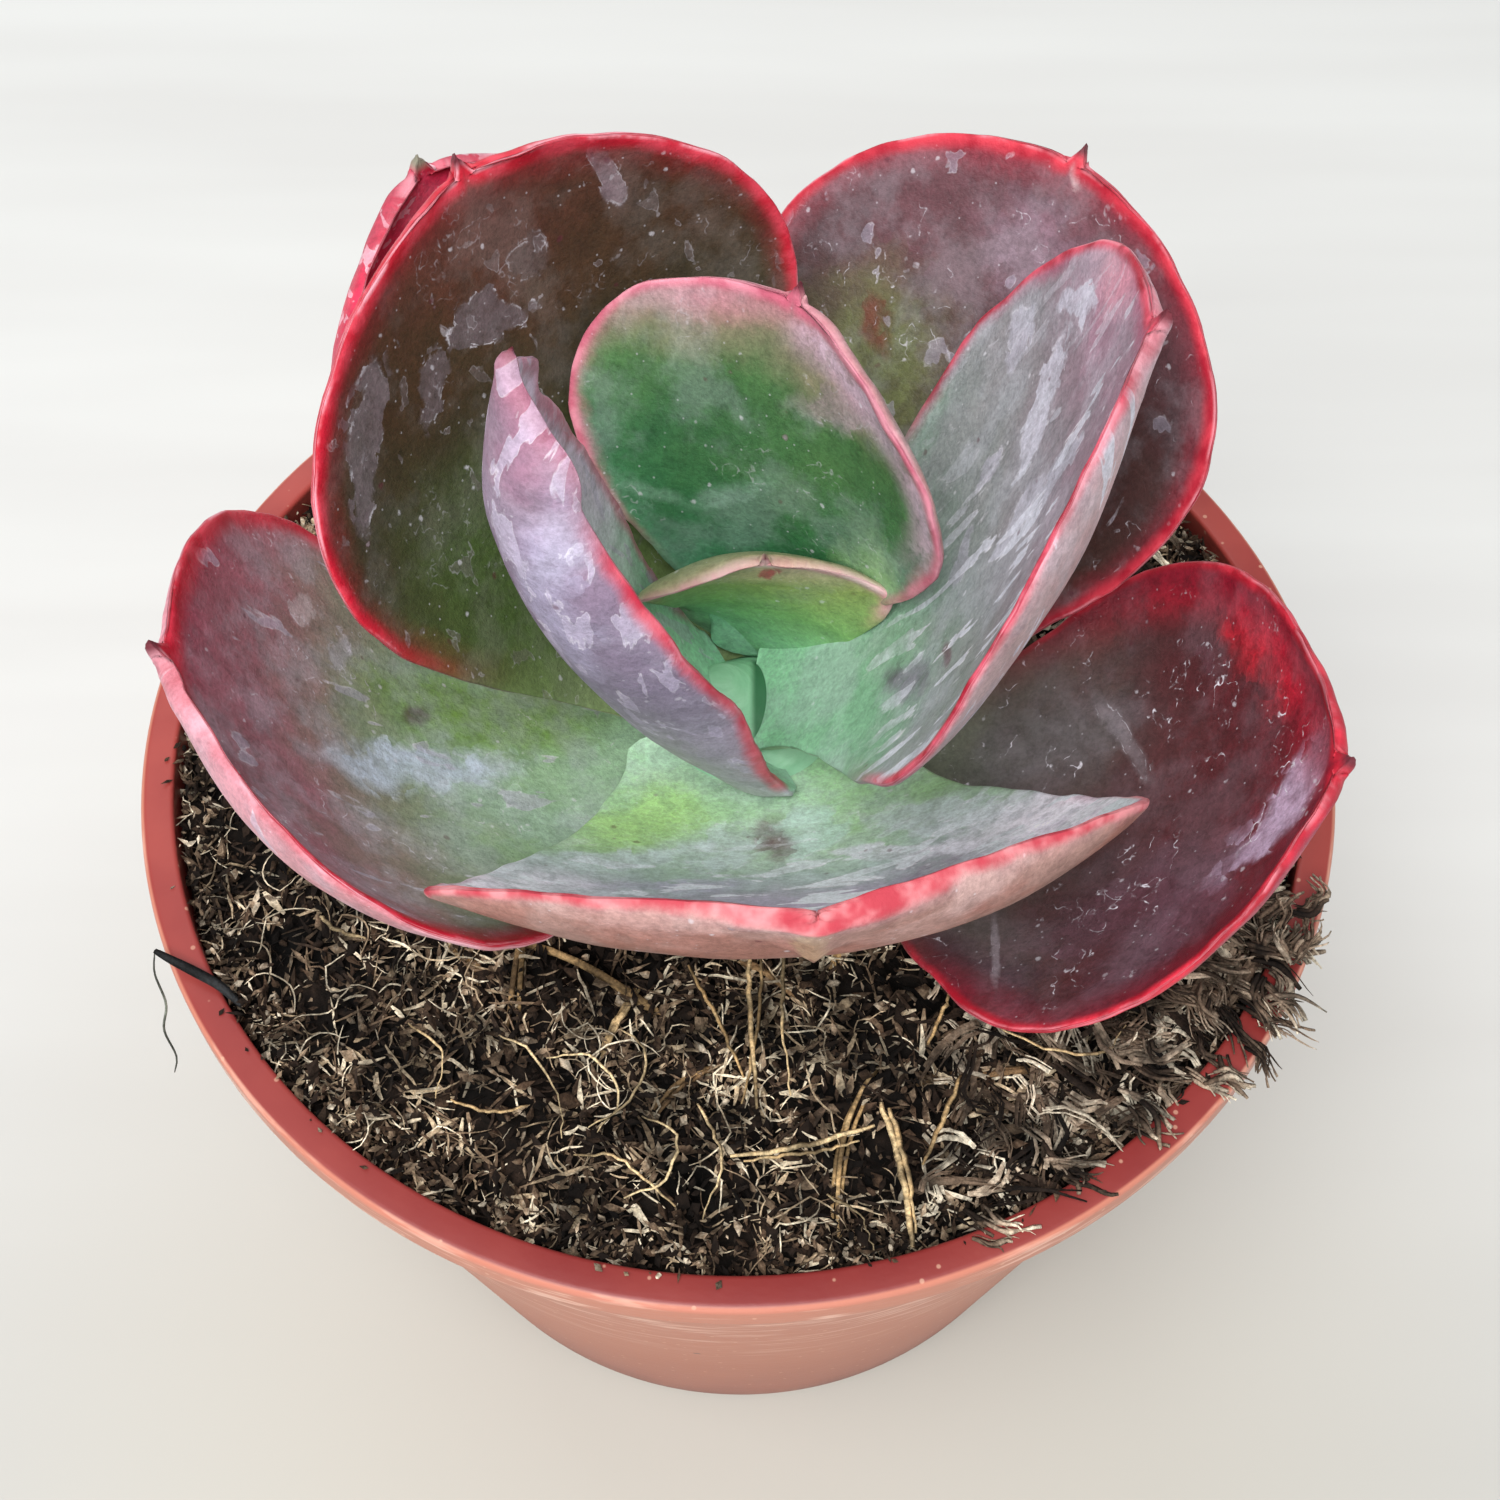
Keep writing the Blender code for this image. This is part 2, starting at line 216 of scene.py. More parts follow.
camera_data = bpy.data.cameras.new("view")
camera_data.sensor_width = CAMERA_SENSOR
camera_data.lens = CAMERA_LENS
camera_data.clip_start = 0.01
camera = bpy.data.objects.new("view", camera_data)
camera.location = [v * MM for v in CAMERA_PLACE]
camera.rotation_euler = (math.radians(CAMERA_TILT), 0, 0)
bpy.context.scene.collection.objects.link(camera)
bpy.context.scene.camera = camera

table_paint = Finish("washed_table")
grain = table_paint.place()
bands = (grain * (0.004, 0.03, 1.0)).noise(1.0, 3.0)
table_x, table_y, _ = grain.parts()
# The table is painted darker and cooler in a band in front of the pot, as painted shade.
painted_front_shade = table_y.step(60.0, -130.0) * table_y.step(-300.0, -150.0)
table_colour = bands.shades([(0.35, "D0CFCC"), (0.65, "D7D7D4")])
table_colour = table_colour.painted(painted_front_shade, bands.shades([(0.35, "AAACB1"), (0.65, "B1B3B8")]))
# Round the pot the table is painted darker and warmer, as painted shade with the warm light thrown back by
# the red pot painted in.
painted_pot_shade = table_paint.join(table_x * 0.8, table_y + 60.0).length().step(150.0, 30.0)
table_colour = table_colour.painted(painted_pot_shade, "BFBDB4")
table_paint.set(Base_Color=table_colour, Roughness=0.7, Specular_IOR_Level=0.25)
table_corners = [(x * TABLE_HALF, y * TABLE_HALF, 0) for x, y in ((-1, -1), (1, -1), (1, 1), (-1, 1))]
table = solid("table", table_corners, [(0, 1, 2, 3)], table_paint.material)

world = bpy.data.worlds.new("daylight")
world.use_nodes = True
sky = world.node_tree.nodes["Background"].inputs
sky["Color"].default_value = (0.95, 0.98, 1.0, 1.0)
sky["Strength"].default_value = DAYLIGHT
bpy.context.scene.world = world
for name, power, size, spot, aim in LAMPS:
    lamp = bpy.data.lights.new(name, "AREA")
    lamp.energy = power
    lamp.size = size
    lamp_object = bpy.data.objects.new(name, lamp)
    lamp_object.location = spot
    lamp_object.rotation_euler = (Vector(aim) - Vector(spot)).to_track_quat("-Z", "Y").to_euler()
    bpy.context.scene.collection.objects.link(lamp_object)
bpy.context.scene.view_settings.view_transform = "Standard"

# The pot is a 12 cm grower's pot, moulded in one piece from brick-red polypropylene. It has a
# flat ring round the lip, a wall that tapers to a narrow foot, and seven drain holes.
POT_HEIGHT = 85.0
RIM_RADIUS = 60.0
RIM_WIDTH = 3.3
LIP_DEPTH = 4.0
LIP_UNDER = POT_HEIGHT - LIP_DEPTH
WALL_TOP_RADIUS = 58.0
BASE_RADIUS = 43.5
WALL_SLOPE = (WALL_TOP_RADIUS - BASE_RADIUS) / LIP_UNDER
WALL = 1.3
FOOT_WIDTH = 4.0
FOOT_HEIGHT = 1.0
FLOOR_TOP = 2.6
DRAIN_RADIUS = 4.0
DRAIN_RING = 27.0
DRAIN_HOLES = 6
DRAIN_SIDES = 24
POT_SIDES = 240
SHARP_FROM = 50


def new_tree(name, inputs):
    """The wiring of a Geometry Nodes tree with one mesh going in and out and the named inputs."""
    tree = bpy.data.node_groups.new(name, "GeometryNodeTree")
    tree.interface.new_socket("Geometry", in_out="INPUT", socket_type="NodeSocketGeometry")
    for label, kind in inputs:
        tree.interface.new_socket(label, in_out="INPUT", socket_type="NodeSocket" + kind)
    tree.interface.new_socket("Geometry", in_out="OUTPUT", socket_type="NodeSocketGeometry")
    wiring = Wiring(tree)
    group = wiring.add("NodeGroupInput").socket.node
    wiring.inputs = {socket.name: Value(wiring, socket) for socket in group.outputs}
    return wiring


def close_tree(wiring, geometry):
    """Ends a tree in Realize Instances and Set Material."""
    plain = wiring.add("GeometryNodeRealizeInstances", {0: geometry})
    painted = wiring.add("GeometryNodeSetMaterial", {"Geometry": plain, "Material": wiring.inputs["Finish"]})
    wiring.add("NodeGroupOutput", {0: painted})


def grow(thing, wiring, **values):
    """Runs a tree on an object and keeps the result as its plain mesh."""
    step = thing.modifiers.new(wiring.tree.name, "NODES")
    step.node_group = wiring.tree
    for item in wiring.tree.interface.items_tree:
        key = item.name.replace(" ", "_")
        if item.in_out == "INPUT" and key in values:
            step[item.identifier] = values[key]
    depsgraph = bpy.context.evaluated_depsgraph_get()
    plain = bpy.data.meshes.new_from_object(
        thing.evaluated_get(depsgraph), preserve_all_data_layers=True, depsgraph=depsgraph)
    thing.modifiers.clear()
    plain.name = thing.data.name
    thing.data = plain


def rounded(corners, steps=4):
    """A profile in mm whose corners (radius, height, rounding) are turned into small arcs."""
    line = []
    for k, (r, z, soft) in enumerate(corners):
        here = np.array((r, z))
        if not soft:
            line.append(here)
            continue
        before = np.array(corners[k - 1][:2]) - here
        after = np.array(corners[k + 1][:2]) - here
        start = here + before / np.linalg.norm(before) * soft
        end = here + after / np.linalg.norm(after) * soft
        for t in np.linspace(0, 1, steps + 1):
            line.append((1 - t) ** 2 * start + 2 * t * (1 - t) * here + t * t * end)
    return line


def divided(line, longest):
    """The same profile with no stretch longer than that."""
    points = [line[0]]
    for a, b in zip(line, line[1:]):
        count = max(1, math.ceil(np.linalg.norm(b - a) / longest))
        points += [a + (b - a) * (k + 1) / count for k in range(count)]
    return points


def inner_radius(height):
    return min(BASE_RADIUS + WALL_SLOPE * height - WALL, RIM_RADIUS - RIM_WIDTH)


lathe = new_tree("lathe", [("Sides", "Int"), ("Finish", "Material")])
outline = lathe.add("GeometryNodeMeshToCurve", {0: lathe.inputs["Geometry"]})
round_path = lathe.add("GeometryNodeCurvePrimitiveCircle", {
    "Resolution": lathe.inputs["Sides"], "Radius": RIM_RADIUS * MM})
wall = lathe.add("GeometryNodeCurveToMesh", {"Curve": round_path, "Profile Curve": outline})
close_tree(lathe, lathe.add("GeometryNodeMergeByDistance", {"Geometry": wall, "Distance": 0.01 * MM}))

pot_plastic = Finish("brick_red_plastic")
spot = pot_plastic.place()
px, py, pz = spot.parts()
pot_radius = pot_plastic.join(px, py).length()
mottle = spot.noise(0.09, 3.0)
# The wall and lip side are painted a paler salmon than the red top of the ring, as painted light, and darker
# towards the foot, as painted shade.
wall_colour = (pz / POT_HEIGHT + mottle * 0.24 - 0.12).shades([
    (0.0, "8A4636"), (0.12, "9E5844"), (0.35, "AA6249"), (0.6, "B26C53"), (0.93, "B87660")])
scuff = (spot * (0.09, 0.09, 0.9)).noise(1.0, 4.0, 0.6).step(0.5, 0.64)
wall_colour = wall_colour.painted(scuff * pz.step(30.0, 74.0, 0.0, 0.85), "DDB09C")
ring_colour = mottle.shades([(0.35, "8E302C"), (0.65, "A04038")])
# The ring is painted darker towards the front, as painted shade.
ring_colour = ring_colour.painted(py.step(10.0, -58.0, 0.0, 0.5), "782828")
within = (pot_radius - (pz * WALL_SLOPE + BASE_RADIUS)).step(-0.5, -0.9)
on_ring = pot_plastic.math("MAXIMUM", pz.step(84.35, 84.75) * pot_radius.step(59.75, 59.45), within)
# A lighter line along the ring's rounded outer edge is a painted highlight.
ring_edge_highlight = pz.step(84.0, 84.5) * pot_radius.step(59.3, 59.6)
colour = wall_colour.painted(ring_edge_highlight * 0.45, "CF7E6A").painted(on_ring, ring_colour)
dust = spot.cells(0.55)
dust_dot = dust.step(0.16, 0.09) * dust.output("Color").parts()[0].step(0.55, 0.56)
colour = colour.painted(dust_dot * 0.55, "D9A98F")
soiling = spot.cells(0.16)
soil_dot = soiling.step(0.085, 0.05) * soiling.output("Color").parts()[1].step(0.8, 0.81)
colour = colour.painted(soil_dot * 0.8, "4A2C22")
# The inner wall between the ring and the soil is painted darker, as painted shade.
inside = within * pz.step(60.0, 70.0) * pz.step(84.7, 84.3)
colour = colour.painted(inside * 0.6, "5A2A22")
pot_plastic.relief((spot * (0.5, 0.5, 1.6)).noise(1.0, 5.0), 0.05)
pot_plastic.set(Base_Color=colour, Roughness=0.42, Specular_IOR_Level=0.45)

pot_profile = divided(rounded([
    (0, FOOT_HEIGHT, 0), (BASE_RADIUS - FOOT_WIDTH, FOOT_HEIGHT, 0.3),
    (BASE_RADIUS - FOOT_WIDTH, 0, 0.3), (BASE_RADIUS, 0, 0.8),
    (WALL_TOP_RADIUS, LIP_UNDER, 0.3), (RIM_RADIUS, LIP_UNDER + 0.3, 0.3),
    (RIM_RADIUS, POT_HEIGHT, 0.8), (RIM_RADIUS - RIM_WIDTH, POT_HEIGHT, 0.5),
    (inner_radius(LIP_UNDER), LIP_UNDER, 0), (inner_radius(FLOOR_TOP), FLOOR_TOP, 1.8),
    (0, FLOOR_TOP, 0)]), 6.0)
pot = solid("pot_body", [(r - RIM_RADIUS, -z, 0) for r, z in pot_profile], [])
pot.data.edges.add(len(pot_profile) - 1)
for k, edge in enumerate(pot.data.edges):
    edge.vertices = (k, k + 1)
grow(pot, lathe, Sides=POT_SIDES, Finish=pot_plastic.material)


def cut(body, tools):
    """Cuts the tools from a body for good."""
    group = bpy.data.collections.new(body.name + "_tools")
    for tool in tools:
        group.objects.link(tool)
    step = body.modifiers.new("cut", "BOOLEAN")
    step.operand_type = "COLLECTION"
    step.collection = group
    step.solver = "EXACT"
    body.data = bpy.data.meshes.new_from_object(body.evaluated_get(bpy.context.evaluated_depsgraph_get()))
    body.modifiers.clear()
    for tool in tools:
        bpy.data.objects.remove(tool, do_unlink=True)
    bpy.data.collections.remove(group)


def rod(rings):
    """Points and faces of a closed body through rings of equal length, listed from one end."""
    count = len(rings[0])
    faces = [tuple(range(count))]
    for upper in range(len(rings) - 1):
        for k in range(count):
            a, b = upper * count + k, upper * count + (k + 1) % count
            faces.append((a, a + count, b + count, b))
    last = (len(rings) - 1) * count
    faces.append(tuple(last + k for k in reversed(range(count))))
    return [p for ring in rings for p in ring], faces


def circle(radius, height, sides, centre=(0.0, 0.0)):
    turns = 2 * math.pi * np.arange(sides) / sides
    return [(centre[0] + radius * math.cos(t), centre[1] + radius * math.sin(t), height) for t in turns]


drills = []
for k in range(DRAIN_HOLES + 1):
    turn = 2 * math.pi * (k + 0.5) / DRAIN_HOLES
    ring = DRAIN_RING if k < DRAIN_HOLES else 0.0
    centre = (ring * math.cos(turn), ring * math.sin(turn))
    ends = [circle(DRAIN_RADIUS, z, DRAIN_SIDES, centre) for z in (FLOOR_TOP + 1.4, -1.0)]
    drills.append(solid(f"drill_{k}", *rod(ends)))
cut(pot, drills)
pot.data.set_sharp_from_angle(angle=math.radians(SHARP_FROM))
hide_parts("pot")
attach(pot, "root")

# The soil is coarse shredded peat with crumbs of bark, pressed in by hand almost to the
# lip. Its dark top is broken by gaps, and the straws that lie in it are dried sedge.
SOIL_LEVEL = POT_HEIGHT - 3.0
SOIL_RELIEF = 1.1
SOIL_MOUND = 1.0
SOIL_SIDES = 220
SOIL_RINGS = 92
CRUMBLE_HEIGHT = 1.9
LUMP_SIZE = 6.0
CRUMB_SIZE = 1.9
FIRM_RADIUS = 56.2
SEAT_GAP = 0.3
STEM_X, STEM_Y = 2.0, -6.0
STEM_RADIUS = 7.0
STRAWS = 36
STRAW_SEED = 11
STRAW_BAND = (24.0, 46.0)
STRAW_LENGTH = (9.0, 22.0)
STRAW_RADIUS = (0.6, 0.9)
SPLIT_SEED = 5
GOLDEN_TURN = math.pi * (3 - math.sqrt(5))


def soil_height(x, y):
    """The same broad waves, lumps and crumbs as in the CAD solid."""
    from_stem = np.hypot(x - STEM_X, y - STEM_Y)
    mound = SOIL_MOUND * np.exp(-(from_stem / 18.0) ** 2)
    broad = 0.5 * np.sin(0.13 * x + 1.7) * np.cos(0.11 * y - 0.6)
    lumps = 0.3 * np.sin(0.41 * x + 0.9 * np.sin(0.23 * y)) * np.cos(0.37 * y + 0.4)
    crumbs = 0.35 * np.sin(1.13 * x + 2.1 * y) * np.cos(1.31 * y - 0.7 * x + 2.0)
    return SOIL_LEVEL + mound + SOIL_RELIEF * (broad + lumps + crumbs)


def peat_finish(name, stops, rough=0.92):
    """Peat and fibre of several browns. Each piece that was strewn has its own shade, and light and dark
    clumps are painted over all, as painted light and shade.
    """
    paint = Finish(name)
    place = paint.place()
    shade = paint.attribute("shade") + place.noise(0.9, 4.0, 0.6) * 0.5 - 0.25
    streak = place.noise(2.4, 3.0, 0.7)
    # Clumps of painted light and painted shade lie over every piece alike.
    clumps = place.noise(0.2, 2.5, 0.6).step(0.38, 0.62, 0.42, 1.72)
    colour = shade.shades(stops).painted(streak.step(0.3, 0.7, 0.0, 0.6), "120C08")
    paint.relief(streak, 0.25)
    return paint.set(
        Base_Color=colour.painted(1.0, clumps, "MULTIPLY"), Roughness=rough, Specular_IOR_Level=0.2)


def ground_rings(count, sides):
    """The open top of the soil as rings from the stem to the pot's wall."""
    outer = inner_radius(SOIL_LEVEL) - SEAT_GAP
    share = np.linspace(0, 1, count)[:, None]
    turn = 2 * math.pi * np.arange(sides)[None, :] / sides
    radius = (STEM_RADIUS - 1.0) * (1 - share) + outer * share
    x = STEM_X * (1 - share) + radius * np.cos(turn)
    y = STEM_Y * (1 - share) + radius * np.sin(turn)
    z = soil_height(x, y)
    z[-1] = SOIL_LEVEL - 0.5
    return np.stack([x, y, z], -1)


def store(thing, name, values, kind="FLOAT"):
    """Keeps a number or vector for each point of a mesh."""
    layer = thing.data.attributes.new(name, kind, "POINT").data
    layer.foreach_set("vector" if kind == "FLOAT_VECTOR" else "value", np.ravel(values).astype(np.float32))


def stored(wiring, name):
    """A number that the mesh of a tree keeps for each of its points."""
    return wiring.add("GeometryNodeInputNamedAttribute", {"Name": name}, data_type="FLOAT")


def moved(wiring, geometry, offset):
    return wiring.add("GeometryNodeSetPosition", {"Geometry": geometry, "Offset": offset})


def with_shade(wiring, geometry, value, domain):
    inputs = {"Geometry": geometry, "Name": "shade", "Value": value}
    return wiring.add("GeometryNodeStoreNamedAttribute", inputs, data_type="FLOAT", domain=domain)


relief = new_tree("crumbled_top", [
    ("Height", "Float"), ("Lump size", "Float"), ("Crumb size", "Float"), ("Finish", "Material")])
where = relief.add("GeometryNodeInputPosition")
lumps = where.noise(1.0 / relief.inputs["Lump size"], 3.0, 0.6, 0.6)
crumbs = where.cells(1.0 / relief.inputs["Crumb size"])
lift = (lumps * 2.0 - 1.0 + crumbs * -0.9 + 0.3) * relief.inputs["Height"] * stored(relief, "loose")
lifted = moved(relief, relief.inputs["Geometry"], relief.join(0.0, 0.0, lift))
# The shade kept on the peat follows the lift, so that its hollows are painted darker, as painted shade.
close_tree(relief, with_shade(relief, lifted, lift * 350.0 + 0.25, "POINT"))

peat = peat_finish("dark_peat", [(0.0, "040302"), (0.3, "140E0A"), (0.6, "30241C"), (1.0, "5A4A3C")])
soil_floor = FLOOR_TOP + SEAT_GAP
shoulder = soil_floor + 1.5
points, faces = rod([
    *ground_rings(SOIL_RINGS, SOIL_SIDES), circle(inner_radius(shoulder) - SEAT_GAP, shoulder, SOIL_SIDES),
    circle(inner_radius(soil_floor) - 1.8, soil_floor, SOIL_SIDES)])
soil = solid("peat_ball", points, faces, peat)
x, y, z = np.array(points).T
store(soil, "loose", np.clip((FIRM_RADIUS - np.hypot(x, y)) / 1.5, 0, 1) * (z > 70))
grow(
    soil, relief, Height=CRUMBLE_HEIGHT * MM, Lump_size=LUMP_SIZE * MM, Crumb_size=CRUMB_SIZE * MM,
    Finish=peat)
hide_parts("soil")
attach(soil, "root")


def strand(path, radius, sides=5, taper=0.35):
    """A tube through points in mm, thinner at both ends, with its normals carried along."""
    path = np.asarray(path, float)
    along = np.gradient(path, axis=0)
    along /= np.linalg.norm(along, axis=1, keepdims=True)
    across = np.cross(along[0], (0.3, 0.2, 1.0))
    across /= np.linalg.norm(across)
    rings = []
    for k, (here, ahead) in enumerate(zip(path, along)):
        across = across - ahead * across.dot(ahead)
        across /= np.linalg.norm(across)
        up = np.cross(ahead, across)
        share = k / (len(path) - 1)
        thick = radius * (taper + (1 - taper) * math.sin(math.pi * share) ** 0.5)
        turns = 2 * math.pi * np.arange(sides) / sides
        rings.append([here + (across * math.cos(t) - up * math.sin(t)) * thick for t in turns])
    return rod(rings)


def flat_strip(path, wide, thick, twist=0.0):
    """A thin flat strip through points in mm, lying on its broad side and narrower at its ends."""
    path = np.asarray(path, float)
    along = np.gradient(path, axis=0)
    rings = []
    for k, (here, ahead) in enumerate(zip(path, along)):
        tilt = twist * k / len(path)
        side = np.cross(ahead, (math.sin(tilt), 0.0, math.cos(tilt)))
        full = 0.3 + 0.7 * math.sin(math.pi * (k + 0.6) / (len(path) + 0.2)) ** 0.5
        side = side / np.linalg.norm(side) * wide * full
        up = np.cross(side, ahead)
        up = up / np.linalg.norm(up) * thick
        rings.append([here - side, here - up, here + side, here + up])
    return rod(rings)


def smooth_path(corners, count):
    """A smooth line through a few points."""
    corners = np.asarray(corners, float)
    reached = np.concatenate([[0], np.cumsum(np.linalg.norm(np.diff(corners, axis=0), axis=1))])
    padded = np.vstack([2 * corners[0] - corners[1], corners, 2 * corners[-1] - corners[-2]])
    places = []
    for d in np.linspace(0, reached[-1], count):
        k = min(int(np.searchsorted(reached, d, side="right")) - 1, len(corners) - 2)
        t = (d - reached[k]) / (reached[k + 1] - reached[k])
        a, b, c, e = padded[k:k + 4]
        curved = (2 * a - 5 * b + 4 * c - e) * t ** 2 + (3 * b - a - 3 * c + e) * t ** 3
        places.append(0.5 * (2 * b + (c - a) * t + curved))
    return np.array(places)


def gather(name, bodies, material, shades):
    """One object from several bodies. A body has one shade or a shade for each of its points."""
    points, faces, values = [], [], []
    for (body_points, body_faces), shade in zip(bodies, shades):
        faces += [tuple(len(points) + v for v in face) for face in body_faces]
        points += [tuple(p) for p in body_points]
        values += np.broadcast_to(shade, len(body_points)).tolist()
    made = solid(name, points, faces, material)
    store(made, "shade", values)
    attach(made, "root")


def nudge(draw, *most):
    """A random shift of up to so much each way."""
    return np.array([draw.uniform(-m, m) for m in most])


draw = random.Random(STRAW_SEED)
split_draw = random.Random(SPLIT_SEED)
straws, straw_shades = [], []
for number in range(STRAWS):
    turn = number * GOLDEN_TURN
    out = draw.uniform(*STRAW_BAND)
    x, y = out * math.cos(turn), out * math.sin(turn)
    length = draw.uniform(*STRAW_LENGTH)
    radius = draw.uniform(*STRAW_RADIUS)
    heading = draw.uniform(0, math.pi)
    curl = draw.uniform(-0.5, 0.5)
    line = []
    for share in np.linspace(-0.5, 0.5, 11):
        turn = heading + curl * share
        cx = x + length * share * math.cos(turn)
        cy = y + length * share * math.sin(turn)
        sunk = 3.0 * radius * (4 * share * share) - 0.6 * radius
        line.append((cx, cy, float(soil_height(cx, cy)) - sunk + 0.5))
    shade = split_draw.uniform(0.25, 0.8)
    for split in range(3):
        off = nudge(split_draw, 0.45, 0.45, 0.45) * radius
        fray = nudge(split_draw, 0.5, 0.5, 0.5) * radius
        bundle = [np.array(p) + off + fray * math.sin(2.2 * k / 10 + split) for k, p in enumerate(line)]
        straws.append(strand(bundle, radius * split_draw.uniform(0.26, 0.45), 5, 0.45))
        straw_shades.append(shade + split_draw.uniform(-0.12, 0.12))
dried_sedge = peat_finish("dried_sedge", [
    (0.0, "4A3827"), (0.35, "86694A"), (0.7, "BE9C6C"), (1.0, "DFC79A")], 0.75)
gather("sedge_straws", straws, dried_sedge, straw_shades)

# A few longer straws, pale root threads and torn sedge lie over the rest, as they fell when
# the plant was potted. A dark flat strap of leaf is caught on the lip at the left.
# Each row has the points of a straw, its thickness and its shade.
STRAW_POINTS = 16
STRAP_POINTS = 24
loose_rows = [
    (((1.0, -25.5, 87.5), (1.2, -33.3, 87.0), (1.8, -41.0, 84.2)), 0.32, 0.85),
    (((2.2, -25.5, 87.0), (2.0, -33.0, 86.4), (0.4, -40.5, 84.2)), 0.22, 0.75),
    (((4.4, -26.0, 86.8), (4.2, -33.3, 86.6), (4.9, -39.8, 84.4)), 0.3, 0.9),
    (((-4.6, -27.5, 86.4), (-2.0, -32.5, 86.0), (0.6, -38.0, 84.4)), 0.26, 0.7),
    (((-0.6, -46.0, 85.4), (5.7, -45.2, 85.8), (12.4, -43.0, 85.2)), 0.34, 0.95),
    (((0.6, -46.4, 85.2), (6.4, -45.7, 85.5), (11.0, -44.4, 85.0)), 0.24, 0.85),
    (((13.0, -41.2, 86.2), (14.6, -47.5, 86.0), (15.4, -54.2, 84.8)), 0.46, 0.9),
    (((13.7, -41.8, 86.3), (15.2, -48.0, 86.1), (15.7, -53.0, 85.0)), 0.4, 0.82),
    (((20.3, -38.4, 85.6), (18.6, -42.5, 85.6), (16.6, -46.6, 84.8)), 0.3, 0.75),
    (((17.5, -35.4, 85.8), (19.6, -31.0, 86.2), (20.4, -28.0, 85.6)), 0.26, 0.7),
    (((-22.0, -34.3, 85.6), (-19.0, -36.4, 86.8), (-16.2, -40.3, 85.2), (-15.8, -44.0, 84.6)), 0.18, 1.0),
    (((-17.5, -36.5, 85.4), (-13.5, -37.0, 87.0), (-10.6, -40.4, 86.2), (-12.6, -43.6, 85.0)), 0.17, 1.05),
    (((-10.9, -33.5, 85.2), (-8.4, -36.4, 86.6), (-9.6, -41.0, 86.4), (-13.4, -43.2, 85.2)), 0.17, 1.0),
    (((-8.6, -42.2, 85.4), (-5.4, -44.4, 86.6), (-6.4, -48.4, 86.0), (-10.0, -49.8, 85.0)), 0.18, 1.05),
    (((-14.6, -45.8, 85.2), (-10.4, -46.6, 86.2), (-5.4, -50.6, 85.0)), 0.2, 0.9),
    (((-26.0, -40.5, 85.2), (-22.4, -42.0, 86.0), (-19.0, -41.0, 85.0)), 0.22, 0.8),
    (((-30.5, -33.0, 85.4), (-27.0, -36.4, 86.2), (-27.4, -40.4, 85.2)), 0.18, 0.9),
    (((-3.6, -41.0, 85.4), (-1.4, -46.4, 85.8), (-3.0, -51.6, 84.6)), 0.24, 0.95),
    (((8.0, -49.5, 85.2), (10.8, -51.6, 85.8), (12.0, -54.4, 84.6)), 0.22, 1.0),
    (((24.0, -33.6, 86.0), (28.4, -36.4, 87.2), (33.6, -36.2, 86.2), (36.0, -33.2, 85.4)), 0.2, 0.85),
    (((19.6, -27.8, 86.4), (23.4, -29.6, 87.6), (28.6, -28.6, 86.4)), 0.22, 0.9),
    (((-40.0, -21.6, 85.0), (-38.0, -23.4, 85.6), (-35.4, -24.0, 85.0)), 0.34, 0.95)]
loose = []
for corners, thick, _ in loose_rows:
    line = smooth_path(corners, STRAW_POINTS)
    line[1:-1] += np.array([nudge(split_draw, 0.14, 0.14, 0.14) for _ in line[1:-1]])
    loose.append(flat_strip(line, thick * 0.8, thick * 0.3, split_draw.uniform(-2.0, 2.0)))
gather("loose_straws", loose, dried_sedge, [shade for _, _, shade in loose_rows])

strap_paint = peat_finish("dried_leaf_strap", [(0.0, "17191A"), (0.5, "2B2E30"), (1.0, "6F7468")], 0.6)
strap_line = [
    (-54.8, -26.1, 86.6), (-53.0, -27.0, 86.3), (-51.0, -27.9, 85.9), (-48.4, -29.3, 85.6),
    (-46.4, -30.8, 84.4)]
thread_line = [
    (-54.8, -26.2, 86.5), (-55.1, -27.4, 84.4), (-54.6, -28.9, 81.0), (-55.3, -30.2, 78.0),
    (-54.6, -31.6, 75.0), (-55.0, -32.6, 73.4)]
gather("dried_strap", [
    flat_strip(smooth_path(strap_line, STRAP_POINTS), 0.5, 0.16),
    strand(smooth_path(thread_line, STRAP_POINTS), 0.13, 5, 0.4)], strap_paint, [0.35, 1.0])

# Loose crumbs, shreds and fibres lie all over the peat, thickest where the pressed top has
# broken up. They fell where they were strewn, so each kind is scattered on the soil's top.
FULL_TURN = 2 * math.pi
GROUND_RINGS = 40
GROUND_SIDES = 96
SHAPE_SEED = 21

scatter = new_tree("strewn", [
    ("Pieces", "Collection"), ("Density", "Float"), ("Seed", "Int"), ("Smallest", "Float"),
    ("Largest", "Float"), ("Tilt", "Float"), ("Least lift", "Float"), ("Greatest lift", "Float"),
    ("Darkest", "Float"), ("Lightest", "Float"), ("Finish", "Material")])


def chance(shift, low, high, kind="FLOAT"):
    """A random number or vector for each piece that is strewn."""
    first, output = (2, 1) if kind == "FLOAT" else (0, 0)
    inputs = {first: low, first + 1: high, 8: scatter.inputs["Seed"] + shift}
    return scatter.add("FunctionNodeRandomValue", inputs, output, data_type=kind)


